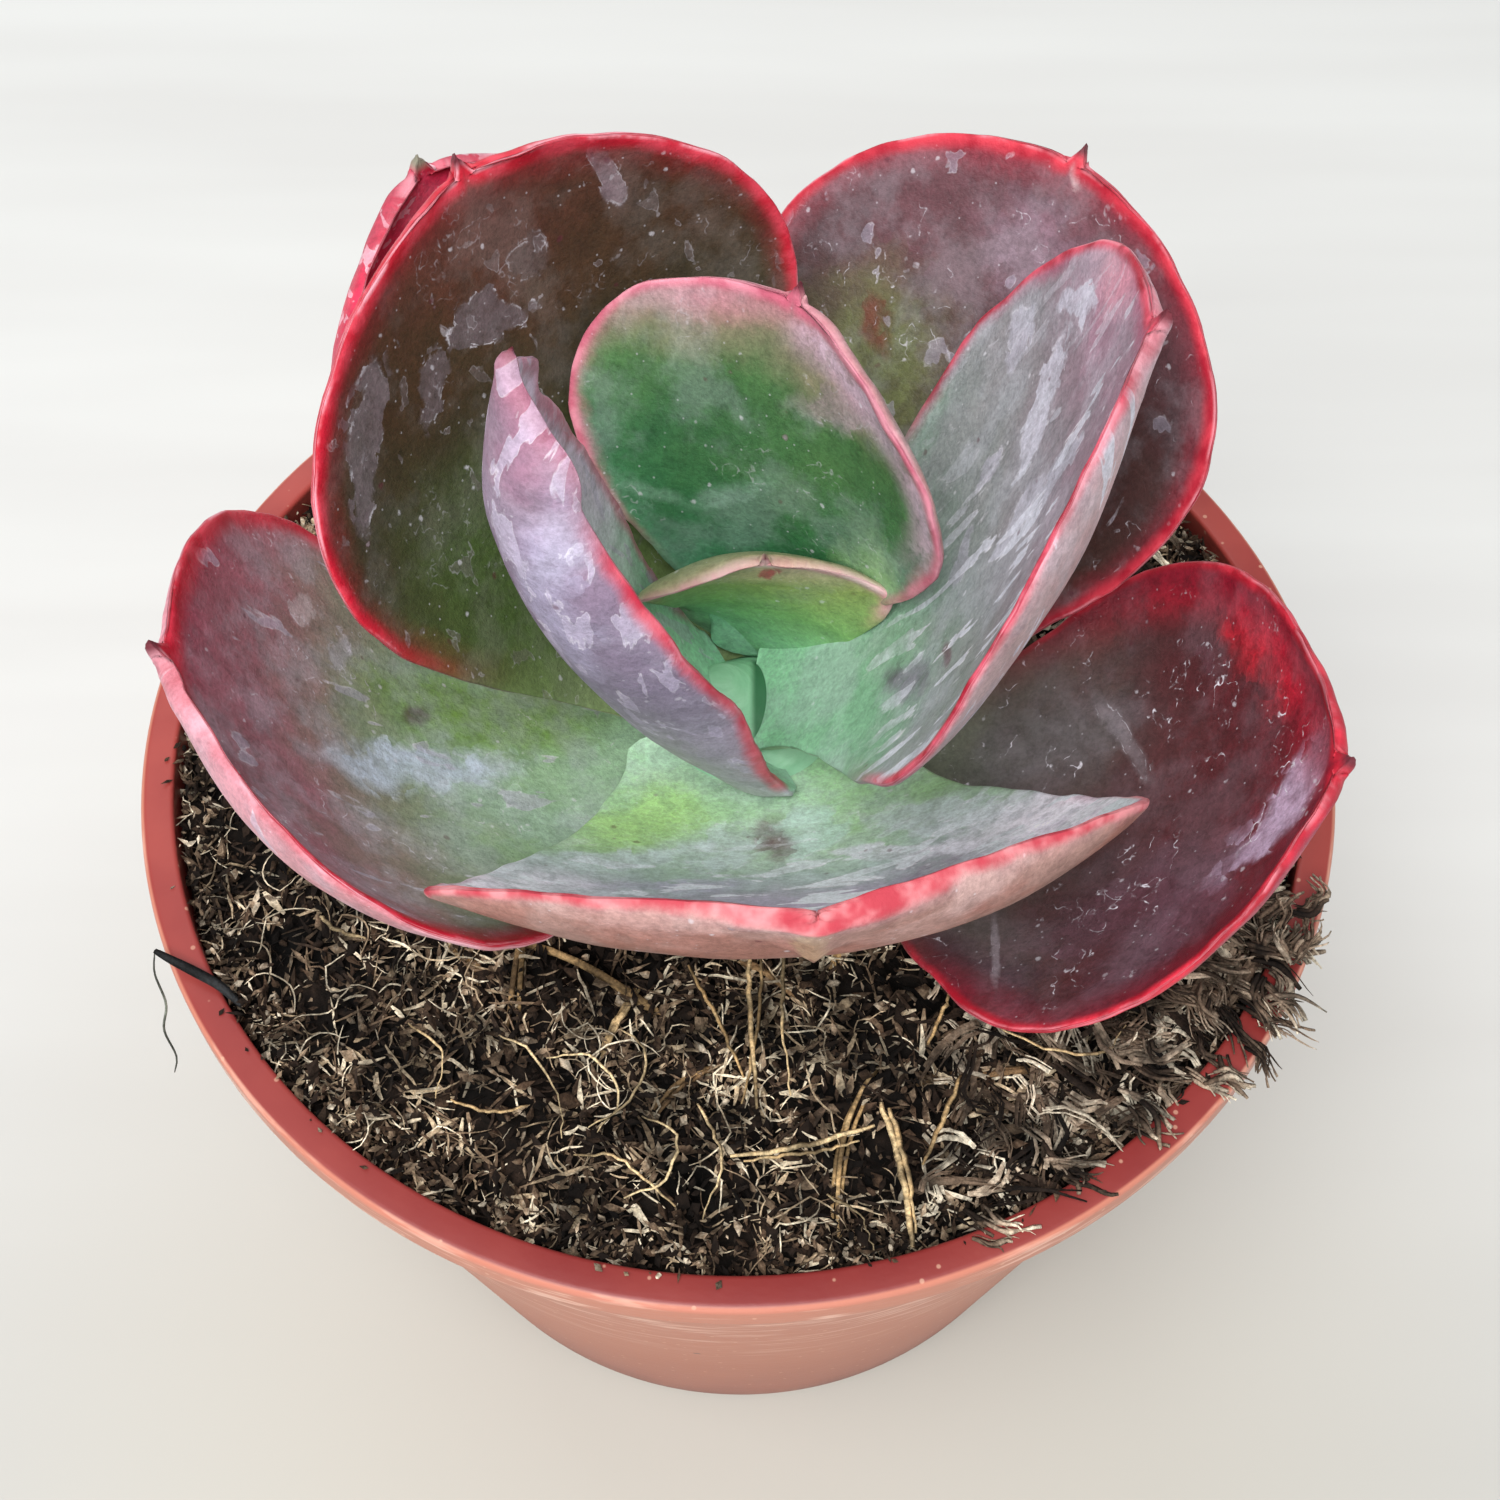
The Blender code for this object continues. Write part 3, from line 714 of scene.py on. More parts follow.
s = scatter.inputs
spots = scatter.add("GeometryNodeDistributePointsOnFaces", {
    "Mesh": s["Geometry"], "Density": s["Density"] * stored(scatter, "bare"), "Seed": s["Seed"]})
lifted = moved(scatter, spots, scatter.join(0.0, 0.0, chance(3.0, s["Least lift"], s["Greatest lift"])))
kinds = scatter.add("GeometryNodeCollectionInfo", {
    "Collection": s["Pieces"], "Separate Children": True, "Reset Children": True})
least = scatter.join(s["Tilt"] * -1.0, s["Tilt"] * -1.0, 0.0)
most = scatter.join(s["Tilt"], s["Tilt"], FULL_TURN)
laid = scatter.add("GeometryNodeInstanceOnPoints", {
    "Points": lifted, "Instance": kinds, "Pick Instance": True,
    "Rotation": chance(1.0, least, most, "FLOAT_VECTOR"), "Scale": chance(2.0, s["Smallest"], s["Largest"])})
close_tree(scatter, with_shade(scatter, laid, chance(4.0, s["Darkest"], s["Lightest"]), "INSTANCE"))


def crumb(draw):
    """A chip of peat: a low ball pushed about and flattened."""
    golden = (1 + 5 ** 0.5) / 2
    corners = []
    for a, b in ((1, golden), (-1, golden), (1, -golden), (-1, -golden)):
        corners += [(a, b, 0), (0, a, b), (b, 0, a)]
    corners = np.array(corners) / math.hypot(1, golden)
    squash = np.array([draw.uniform(0.7, 1.5), draw.uniform(0.6, 1.0), draw.uniform(0.4, 0.8)])
    pushed = corners * squash * np.array([[draw.uniform(0.65, 1.25)] for _ in corners]) * 0.5
    faces = []
    for i in range(12):
        for j in range(i + 1, 12):
            for k in range(j + 1, 12):
                sides = [np.linalg.norm(corners[a] - corners[b]) for a, b in ((i, j), (j, k), (i, k))]
                if max(sides) < 1.1:
                    normal = np.cross(corners[j] - corners[i], corners[k] - corners[i])
                    faces.append((i, j, k) if normal.dot(corners[i]) > 0 else (i, k, j))
    return pushed, faces


def shard(draw):
    """A sharp splinter of bark or peat: two low pyramids back to back."""
    long, wide, thick = draw.uniform(0.7, 1.7), draw.uniform(0.25, 0.6), draw.uniform(0.12, 0.3)
    corners = [(long, 0, 0), (0, wide, 0), (-long, 0, 0), (0, -wide, 0), (0, 0, thick), (0, 0, -thick)]
    pushed = [
        tuple(v * draw.uniform(0.6, 1.3) + draw.uniform(-0.1, 0.1) for v in corner) for corner in corners]
    return pushed, [(k, (k + 1) % 4, 4) for k in range(4)] + [((k + 1) % 4, k, 5) for k in range(4)]


def shred(draw):
    """A torn strip of sedge leaf, flat, bent and split at its ends."""
    length, wide, thick = draw.uniform(2.2, 5.0), draw.uniform(0.16, 0.42), 0.1
    bend, lift = draw.uniform(-0.8, 0.8), draw.uniform(-0.05, 0.35)
    rings = []
    for share in np.linspace(-0.5, 0.5, 5):
        turn = bend * share
        x, y = length * share * math.cos(turn), length * share * math.sin(turn)
        z = lift * length * (0.25 - share * share)
        half = wide * (1.05 - 2.6 * share * share) * draw.uniform(0.7, 1.25)
        side = np.array((-math.sin(turn), math.cos(turn), draw.uniform(-0.5, 0.5))) * half
        middle, under = np.array((x, y, z)), (0, 0, thick)
        rings.append([middle + side, middle - side, middle - side - under, middle + side - under])
    return rod(rings)


def fibre(draw, length, radius, bend, lift, steps=6):
    """A dried fibre or root hair with a kink or two, arched off the soil here and there."""
    heading, place = 0.0, np.zeros(3)
    line = [place]
    turning = draw.uniform(-bend, bend) * 0.5
    for _ in range(steps - 1):
        kink = draw.uniform(-2.2, 2.2) * bend if draw.random() < 0.3 else 0.0
        heading += turning + kink
        turning += draw.uniform(-bend, bend) * 0.35
        ahead = np.array((math.cos(heading), math.sin(heading), draw.uniform(-lift, lift)))
        place = place + ahead * length / steps
        line.append(place)
    line = np.array(line)
    return strand(line - line.mean(0), radius, 3, 0.3)


def wisp(draw):
    """A lock of coir: three flat shreds that run side by side, bend together and part at one end."""
    length, sweep, sway = draw.uniform(4.5, 10), draw.uniform(-1.6, 1.6), draw.uniform(-0.9, 0.9)
    points, faces = [], []
    for k in range(3):
        part, bow = draw.uniform(-0.35, 0.35), draw.uniform(0.2, 1.5)
        place = np.array((-length / 2, (k - 1) * draw.uniform(0.25, 0.55), 0.0))
        line = []
        for share in np.linspace(0, 1, 5):
            line.append(place + (0, 0, bow * math.sin(math.pi * share)))
            turn = (sweep + part) * share + sway * math.sin(2 * math.pi * share)
            place = place + np.array((math.cos(turn), math.sin(turn), 0)) * length * draw.uniform(0.18, 0.27)
        body_points, body_faces = flat_strip(line, draw.uniform(0.08, 0.3), 0.07, draw.uniform(-2.5, 2.5))
        faces += [tuple(len(points) + v for v in face) for face in body_faces]
        points += [tuple(p) for p in body_points]
    return points, faces


def kinds_of(name, bodies):
    """A collection of shapes to strew, kept out of the scene."""
    group = bpy.data.collections.new(name)
    for k, (points, faces) in enumerate(bodies):
        made = solid(f"{name}_{k}", points, faces, smooth=False)
        bpy.context.scene.collection.objects.unlink(made)
        group.objects.link(made)
    return group


shape_draw = random.Random(SHAPE_SEED)
chips = kinds_of("chips", [shard(shape_draw) for _ in range(12)] + [crumb(shape_draw) for _ in range(3)])
shreds = kinds_of("shreds", [shred(shape_draw) for _ in range(12)])
fine_fibres = kinds_of("fine_fibres", [
    fibre(shape_draw, shape_draw.uniform(2.5, 7), shape_draw.uniform(0.06, 0.2), 0.38, 0.35)
    for _ in range(18)])
root_hairs = kinds_of("root_hairs", [
    fibre(shape_draw, shape_draw.uniform(8, 15), 0.11, 0.5, 0.25, 12) for _ in range(9)])
coir = kinds_of("coir", [wisp(shape_draw) for _ in range(16)])

chip_finish = peat_finish("peat_chips", [
    (0.0, "0A0705"), (0.4, "2A1F18"), (0.64, "564334"), (0.84, "9C866E"), (1.0, "E2D4BC")])
fibre_finish = peat_finish("peat_fibres", [
    (0.0, "140E0A"), (0.3, "42342A"), (0.52, "826C56"), (0.75, "C4AE8E"), (1.0, "F0E2C6")], 0.8)
coir_finish = peat_finish("coir_fibres", [
    (0.0, "0C0806"), (0.25, "33271F"), (0.5, "6E5C4C"), (0.75, "AC9984"), (1.0, "E8DCC4")], 0.85)


def strew(name, pieces, finish, bare, rings=None, **values):
    """Strews one kind of piece on the soil where bare says so, and keeps it as a plain mesh."""
    points, faces = rod(rings or ground_rings(GROUND_RINGS, GROUND_SIDES))
    made = solid(name, points, faces[1:-1])
    x, y, _ = np.array(points).T
    store(made, "bare", np.clip(bare(x, y), 0, 1))
    usual = dict(
        Smallest=0.7, Largest=1.4, Tilt=0.3, Least_lift=0.0, Greatest_lift=0.0008, Darkest=0.1, Lightest=0.9)
    grow(made, scatter, Pieces=pieces, Finish=finish, **{**usual, **values})
    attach(made, "root")


def all_over(x, y):
    return (np.hypot(x, y) < 56.9) * 1.0


def patchy(x, y):
    """Thick in some places and thin in others, as loose litter lies."""
    clumps = np.sin(0.21 * x + 1.3 * np.sin(0.17 * y)) * np.cos(0.24 * y + 0.9 * np.sin(0.15 * x))
    return (np.hypot(x, y) < 56.4) * np.clip(0.6 + 0.7 * clumps, 0.15, 1)


def left_and_front(x, y):
    return patchy(x, y) * np.clip((26 - x) / 14, 0.25, 1)


def right_side(x, y):
    return (np.hypot(x, y) < 56.0) * np.clip((x - 17) / 10, 0, 1) * np.clip((4 - y) / 6, 0.25, 1)


def by_the_wall(x, y):
    return np.clip((np.hypot(x, y) - 51.5) / 2.5, 0, 1) * (np.hypot(x, y) < 56.6)


def lip_inside(x, y):
    """Crumbs that lie on the lip, most of them at the front and left."""
    clumps = np.clip(np.sin(0.31 * x + 0.6) * np.cos(0.27 * y) + 0.35, 0, 1)
    return (np.hypot(x, y) < 57.9) * np.clip((10 - y) / 30, 0.05, 1) * clumps


lip_rings = [circle(r, POT_HEIGHT + 0.1, GROUND_SIDES) for r in (56.3, 57.9, 59.3)]
strew(
    "peat_chips", chips, chip_finish, all_over, Density=1.3e6, Seed=3, Smallest=0.3, Largest=1.3, Tilt=1.2,
    Darkest=0.0, Lightest=0.92, Greatest_lift=0.0014)
strew(
    "wall_crumbs", chips, chip_finish, by_the_wall, Density=2.4e6, Seed=8, Smallest=0.25, Largest=0.95,
    Tilt=1.2, Lightest=1.0, Least_lift=0.0006, Greatest_lift=0.0032)
strew(
    "lip_crumbs", chips, chip_finish, lip_inside, lip_rings, Density=1.0e6, Seed=5, Smallest=0.2,
    Largest=0.75, Tilt=0.4, Lightest=1.0, Greatest_lift=0.0002)
strew(
    "peat_shreds", shreds, fibre_finish, patchy, Density=0.62e6, Seed=14, Smallest=0.35, Largest=1.15,
    Tilt=0.6, Darkest=0.0, Lightest=1.0)
strew(
    "fine_fibres", fine_fibres, fibre_finish, left_and_front, Density=0.9e6, Seed=27, Smallest=0.4,
    Largest=1.05, Tilt=0.35, Darkest=0.05, Lightest=1.1, Greatest_lift=0.0014)
strew(
    "root_hairs", root_hairs, fibre_finish, left_and_front, Density=0.06e6, Seed=31, Smallest=0.5,
    Largest=1.0, Tilt=0.25, Darkest=0.5, Lightest=1.15, Least_lift=0.0006, Greatest_lift=0.0022)
strew(
    "coir_mass", coir, coir_finish, right_side, Density=0.6e6, Seed=42, Smallest=0.4, Largest=1.2, Tilt=0.5,
    Darkest=0.0, Lightest=1.1, Greatest_lift=0.003)

# A lock of coir has worked up over the lip at the right, and a few fibres lie across the lip
# at the front right, where the peat was pressed in.
# Each row has a spot, the heading and length of its bunches, their count of fibres and loft.
LOCK_SEED = 77
LOCK_POINTS = 9
BUNCHES = 4
lock_rows = [
    ((49.5, -17.0, 85.6), 60, 7.0, 9, 0.9), ((50.5, -20.0, 86.2), 20, 7.5, 10, 1.2),
    ((49.0, -23.0, 86.0), -35, 8.0, 12, 1.2), ((52.0, -24.5, 87.4), 75, 7.0, 11, 1.3),
    ((51.0, -27.0, 86.6), 10, 7.0, 10, 1.2), ((48.5, -29.5, 85.8), -55, 8.0, 11, 1.1),
    ((49.0, -32.5, 85.8), -20, 6.5, 9, 1.0), ((46.5, -34.5, 85.4), -70, 6.5, 8, 0.9),
    ((44.5, -37.5, 85.2), -35, 6.0, 6, 0.7), ((52.8, -21.6, 88.2), 40, 6.0, 8, 1.1),
    ((45.0, -25.0, 85.6), 0, 8.0, 10, 1.0), ((42.5, -30.0, 85.4), -45, 8.0, 10, 1.0),
    ((38.5, -36.0, 85.2), -15, 8.0, 9, 0.8), ((37.5, -42.0, 85.4), -30, 6.5, 5, 0.5),
    ((30.0, -46.5, 85.3), -10, 6.5, 4, 0.5), ((22.0, -52.0, 85.2), -5, 6.5, 3, 0.4),
    ((36.0, -26.0, 85.6), 25, 8.0, 9, 0.9)]
lock_draw = random.Random(LOCK_SEED)
locks, lock_shades = [], []
for middle, heading, long, count, loft in lock_rows:
    for _ in range(BUNCHES):
        aim = math.radians(heading) + lock_draw.uniform(-0.6, 0.6)
        sweep, sway = nudge(lock_draw, 1.4, 0.7)
        root = middle + nudge(lock_draw, 2.0, 2.0, 0.6)
        bunch_shade = lock_draw.uniform(0.05, 0.7)
        for _ in range(count):
            off = nudge(lock_draw, 0.55, 0.55, 0.5)
            fray = nudge(lock_draw, 1.0, 1.0, 0.8)
            reach = long * lock_draw.uniform(0.35, 0.9)
            shares = np.linspace(0, 1, LOCK_POINTS)
            turns = aim + sweep * (shares - 0.5) + sway * np.sin(2 * math.pi * shares)
            steps = np.stack([np.cos(turns), np.sin(turns), loft * (0.4 - shares) * 0.8], -1)
            steps *= reach / LOCK_POINTS
            line = root + off + np.cumsum(steps, 0) - steps.sum(0) * (0.5, 0.5, 0)
            line += fray * shares[:, None] ** 2
            from_axis = np.hypot(line[:, 0], line[:, 1])
            ground = np.interp(from_axis, [55.5, 56.5, 60.3, 62.0], [83.8, 85.15, 85.15, 83.0])
            line[:, 2] = np.maximum(line[:, 2], ground)
            if lock_draw.random() < 0.7:
                wide = lock_draw.uniform(0.12, 0.34)
                locks.append(flat_strip(line, wide, 0.08, lock_draw.uniform(-3.0, 3.0)))
            else:
                locks.append(strand(line, lock_draw.uniform(0.06, 0.15), 4, 0.3))
            lock_shades.append(np.repeat(bunch_shade + lock_draw.uniform(-0.1, 0.2) + 0.4 * shares ** 2, 4))
gather("coir_lock", locks, coir_finish, lock_shades)

# The stem is short and fleshy, green, and ringed with the pale scars of lost leaves. It
# stands in the peat and swells where the leaves are set.
STEM_SIDES = 48
stem_paint = Finish("fleshy_stem")
stem_place = stem_paint.place()
stem_noise = (stem_place * (0.3, 0.3, 1.2)).noise(1.0, 3.0)
stem_x, _, stem_z = stem_place.parts()
stem_tip = stem_noise.shades([(0.3, "98D0AA"), (0.7, "B0E0BE")])
# A dark green line where the inner right leaf's edge meets the stem's top is painted shade in the crease.
stem_tip = stem_tip.painted(stem_x.step(1.0, 1.8) * stem_z.step(97.3, 98.2), "3F7552")
stem_colour = stem_noise.shades([(0.3, "6E8F5C"), (0.55, "9DB887"), (0.75, "B99A7C")])
stem_paint.relief(stem_noise, 0.4)
stem_paint.set(Base_Color=stem_colour.painted(stem_z.step(86.5, 89.5), stem_tip), Roughness=0.5)
stem_middle = (STEM_X, STEM_Y)
stem_levels = [
    (0.8, 100.6, (-1.6, -4.6)), (2.2, 100.1, (-1.5, -4.8)), (3.6, 98.9, (-0.9, -5.2)),
    (5.8, 97.2, (1.0, -5.8)), (8.0, 95.0, stem_middle), (8.3, 88.0, stem_middle),
    (STEM_RADIUS, 84.5, stem_middle), (STEM_RADIUS, 62.0, stem_middle)]
stem_rings = [circle(radius, height, STEM_SIDES, centre) for radius, height, centre in stem_levels]
stem = solid("stem_body", *rod(stem_rings), stem_paint.material)
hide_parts("stem")
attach(stem, "root")

# Every leaf is a thick blade that grew from a broad white root on the stem. It is cupped on
# each side of its midrib, ends in a small hard point, and wears a waxy skin that the sun has
# turned red at the margin. Wax has flaked and dried water has left pale marks.
MARGIN_THICK = 0.7
POINT_LENGTH = 2.2
LEAF_ROWS = 108
LEAF_COLUMNS = 51
TIP_ROWS = 8
ROUNDING = 0.6
WAVE_HEIGHT = 0.7
WAVE_LENGTH = 14
RIPPLE_HEIGHT = 0.9
RIPPLE_LENGTH = 5
UNEVEN = 0.45
# What a leaf has where its own call says nothing. Lengths are in mm. A patch has its middle,
# half sizes, turn, colour, cover, blur and the strength of its outline. A film has its side
# of the midrib, where it starts and is full, its width, colour and cover.
# Edge is the strength of the painted highlight along the margin.
USUAL_LEAF = dict(
    reach=0.0, root_half=(0.0, 0.0), point=1.0, end=0.5, blade_thick=3.2, root_thick=5.2, beak=None,
    patches=(), back_patches=(), films=(), curls=0.18, dots=0.2, gloss=0.4,
    flush=5.0, flush_colour="8A3642", flush_cover=0.8,
    flakes=0.0, flake_size=(3.0, 8.0), flake_cover=0.5, flake_from=0.0, flake_side=None,
    flake_colour="B9B3C6", clean_back=0.0, bloom=0.35, bloom_colour="BFC2CC",
    rim=1.3, rim_from=(0.12, 0.4), rim_until=None, rim_sides=(1.0, 1.0), rim_wander=0.22, rim_back=0.7,
    rim_colour="A81630", rim_light="D43C52", edge=0.5, tip_colour="6B2430")


def ease(value):
    value = np.clip(value, 0, 1)
    return value * value * (3 - 2 * value)


def point_length(leaf):
    """How far the hard point stands out past the blade."""
    return POINT_LENGTH * leaf["point"] * math.sqrt(min(1.0, leaf["size"][1] / 50.0))


def half_width(leaf, distance, side):
    """The blade's width left (0) or right (1) of the midrib, the hard point included."""
    length, width = leaf["size"]
    base, widest, reach = leaf["base"], leaf["widest"], leaf["reach"]
    share = distance / length
    rise = base + (1 - base) * np.sin(math.pi / 2 * np.clip(share / widest, 0, 1)) ** 1.5
    past = np.clip((share - widest) / (1 - widest), 0, 1)
    blade = width / 2 * np.where(share < widest, rise, (1 - past ** 2) ** leaf["end"])
    to_end = np.maximum(length + point_length(leaf) - distance, 0)
    point = 0.3 * to_end ** 1.5 * ease((share - 0.8) / 0.12)
    root = leaf["root_half"][side] * (1 - ease(distance / 16))
    half = ((blade ** 3 + point ** 3) + root ** 3) ** (1 / 3)
    if reach:
        half = half * np.sqrt(1 - (np.clip(-distance, 0, reach * 0.995) / reach) ** 2)
    return half


def leaf_form(leaf):
    """Rings round a leaf from root to point, and what its skin needs to know at each point."""
    length, _ = leaf["size"]
    widest = leaf["widest"]
    tip_share = point_length(leaf) / length
    lower = LEAF_ROWS // 2
    upper_share = np.sin(np.linspace(0, math.pi / 2, LEAF_ROWS - lower - TIP_ROWS))
    distance = length * np.concatenate([
        np.linspace(-leaf["reach"] / length, widest, lower, endpoint=False),
        widest + (1 - widest) * upper_share, 1 + tip_share * np.linspace(0.1, 1.0, TIP_ROWS)])
    share = np.clip(distance / length, 0, None)
    fine = np.linspace(0, length + point_length(leaf), 400)
    fine_share = np.minimum(fine / length, 1)
    lean = np.radians(leaf["lean"][0] + (leaf["lean"][1] - leaf["lean"][0]) * fine_share ** leaf["bend"])
    heading = np.radians(leaf["heading"] + leaf["sweep"] * fine_share)
    roll = np.radians(leaf["roll"][0] + (leaf["roll"][1] - leaf["roll"][0]) * fine_share)[:, None]
    along = np.stack([np.cos(lean) * np.cos(heading), np.cos(lean) * np.sin(heading), np.sin(lean)], -1)
    left = np.stack([-np.sin(heading), np.cos(heading), 0 * heading], -1)
    inner = np.cross(along, left)
    left, inner = left * np.cos(roll) + inner * np.sin(roll), inner * np.cos(roll) - left * np.sin(roll)
    out, height = leaf["root"]
    first = math.radians(leaf["heading"])
    root = np.array([STEM_X + out * math.cos(first), STEM_Y + out * math.sin(first), height])
    place = np.vstack([root, root + np.cumsum((along[:-1] + along[1:]) / 2 * (fine[1] - fine[0]), 0)])
    place, along, left, inner = [
        np.stack([np.interp(distance, fine, part) for part in each.T], -1)
        for each in (place, along, left, inner)]
    place += along * np.minimum(distance, 0)[:, None]

    side = np.sin(np.linspace(-math.pi / 2, math.pi / 2, LEAF_COLUMNS))
    opening = np.minimum(1.0, 0.35 + share / 0.35 * 0.65)[:, None]
    cup_left, cup_right = np.radians(leaf["cup"])
    arc = np.where(side > 0, cup_left, cup_right) * opening + 1e-6
    turn = arc * np.abs(side)
    half = np.where(side > 0, half_width(leaf, distance, 0)[:, None], half_width(leaf, distance, 1)[:, None])
    across = half * np.sin(turn) / arc * np.sign(side)
    raised = half * (1 - np.cos(turn)) / arc
    face = place[:, None] + left[:, None] * across[..., None] + inner[:, None] * raised[..., None]
    normal = np.cross(np.gradient(face, axis=0), np.gradient(face, axis=1))
    normal /= np.maximum(np.linalg.norm(normal, axis=-1, keepdims=True), 1e-9)
    normal[-3:] = normal[-4].mean(0)
    normal *= np.sign((normal * inner[:, None]).sum(-1).mean())

    flat_across = half * side
    flat_along = np.repeat(distance[:, None], LEAF_COLUMNS, 1)
    margin = np.full(face.shape[:2], 1e9)
    dome = widest + (1 - widest) * np.sin(np.linspace(0, math.pi / 2, 320))
    samples = np.concatenate([np.linspace(0, widest, 160), dome, 1 + tip_share * np.linspace(0, 1, 30)])
    for d in length * samples:
        here = np.array([d])
        for edge in (half_width(leaf, here, 0)[0], -half_width(leaf, here, 1)[0]):
            margin = np.minimum(margin, np.hypot(flat_across - edge, flat_along - d))
    margin = np.where(np.abs(side) > 0.9999, 0.0, margin)

    blade = leaf["blade_thick"]
    middle = blade + (leaf["root_thick"] - blade) * np.exp(-share / 0.18)
    middle = middle * (1 - 0.55 * ease((share - 0.75) / 0.25))
    thick = MARGIN_THICK + (middle[:, None] - MARGIN_THICK) * np.maximum(1 - np.abs(side) ** 2.2, 0)
    if leaf["beak"]:
        ridge = np.interp(flat_along, length + np.array(leaf["beak"]["along"]), leaf["beak"]["high"])
        thick = thick + ridge * np.exp(-(flat_across / leaf["beak"]["half"]) ** 2)
    soft = np.sqrt(1 - (1 - np.minimum(margin / ROUNDING, 1)) ** 2)[..., None]
    edge = MARGIN_THICK / 2
    top = face - normal * edge * (1 - soft)
    bottom = face - normal * (edge + (thick[..., None] - edge) * soft)
    return top, bottom, flat_across, flat_along, margin


def build_leaf(name, leaf):
    """The leaf as one closed mesh that knows how far each point is across, along and from the margin."""
    top, bottom, *flat = leaf_form(leaf)
    ring = LEAF_COLUMNS * 2 - 2
    back = slice(LEAF_COLUMNS - 2, 0, -1)
    points, faces = rod(np.concatenate([top[:-1], bottom[:-1, back]], axis=1))
    across, along, margin = [np.concatenate([a[:-1], a[:-1, back]], axis=1).ravel() for a in flat]
    outer = np.concatenate([np.zeros(LEAF_COLUMNS), np.ones(LEAF_COLUMNS - 2)])
    outer[[0, LEAF_COLUMNS - 1]] = 0.5
    outer = np.tile(outer, len(top) - 1)
    tip_number, root_number = len(points), len(points) + 1
    faces = faces[1:-1]
    for j in range(ring):
        following = (j + 1) % ring
        faces.append((tip_number - ring + j, tip_number, tip_number - ring + following))
        faces.append((j, following, root_number))
    tip = (top[-1].mean(0) + bottom[-1].mean(0)) / 2
    made = solid(name, np.vstack([points, tip, np.mean(points[:ring], 0)]), faces)
    skin = np.vstack([np.stack([across, along, outer], -1), (0, leaf["size"][0] + 2, 0.5), (0, 0, 0.5)])
    store(made, "skin", skin, "FLOAT_VECTOR")
    store(made, "margin", [*margin, 0, 9])
    return made


sway = new_tree("leaf_sway", [
    ("Wave height", "Float"), ("Wave length", "Float"), ("Ripple height", "Float"),
    ("Ripple length", "Float"), ("Seed", "Float"), ("Finish", "Material")])
w = sway.inputs
where = sway.add("GeometryNodeInputPosition")


def sway_noise(scale, seed_shift):
    """A shift in all three directions that wanders over the leaf."""
    inputs = {"Vector": where, "W": w["Seed"] + seed_shift, "Scale": 1.0 / scale, "Detail": 1.5}
    return sway.add("ShaderNodeTexNoise", inputs, "Color", noise_dimensions="4D") - 0.5


wave = sway_noise(w["Wave length"], 0.0) * w["Wave height"]
near_margin = stored(sway, "margin").step(5.0, 0.0)
ripple = sway_noise(w["Ripple length"], 5.0) * (w["Ripple height"] * near_margin)
close_tree(sway, moved(sway, w["Geometry"], wave + ripple))


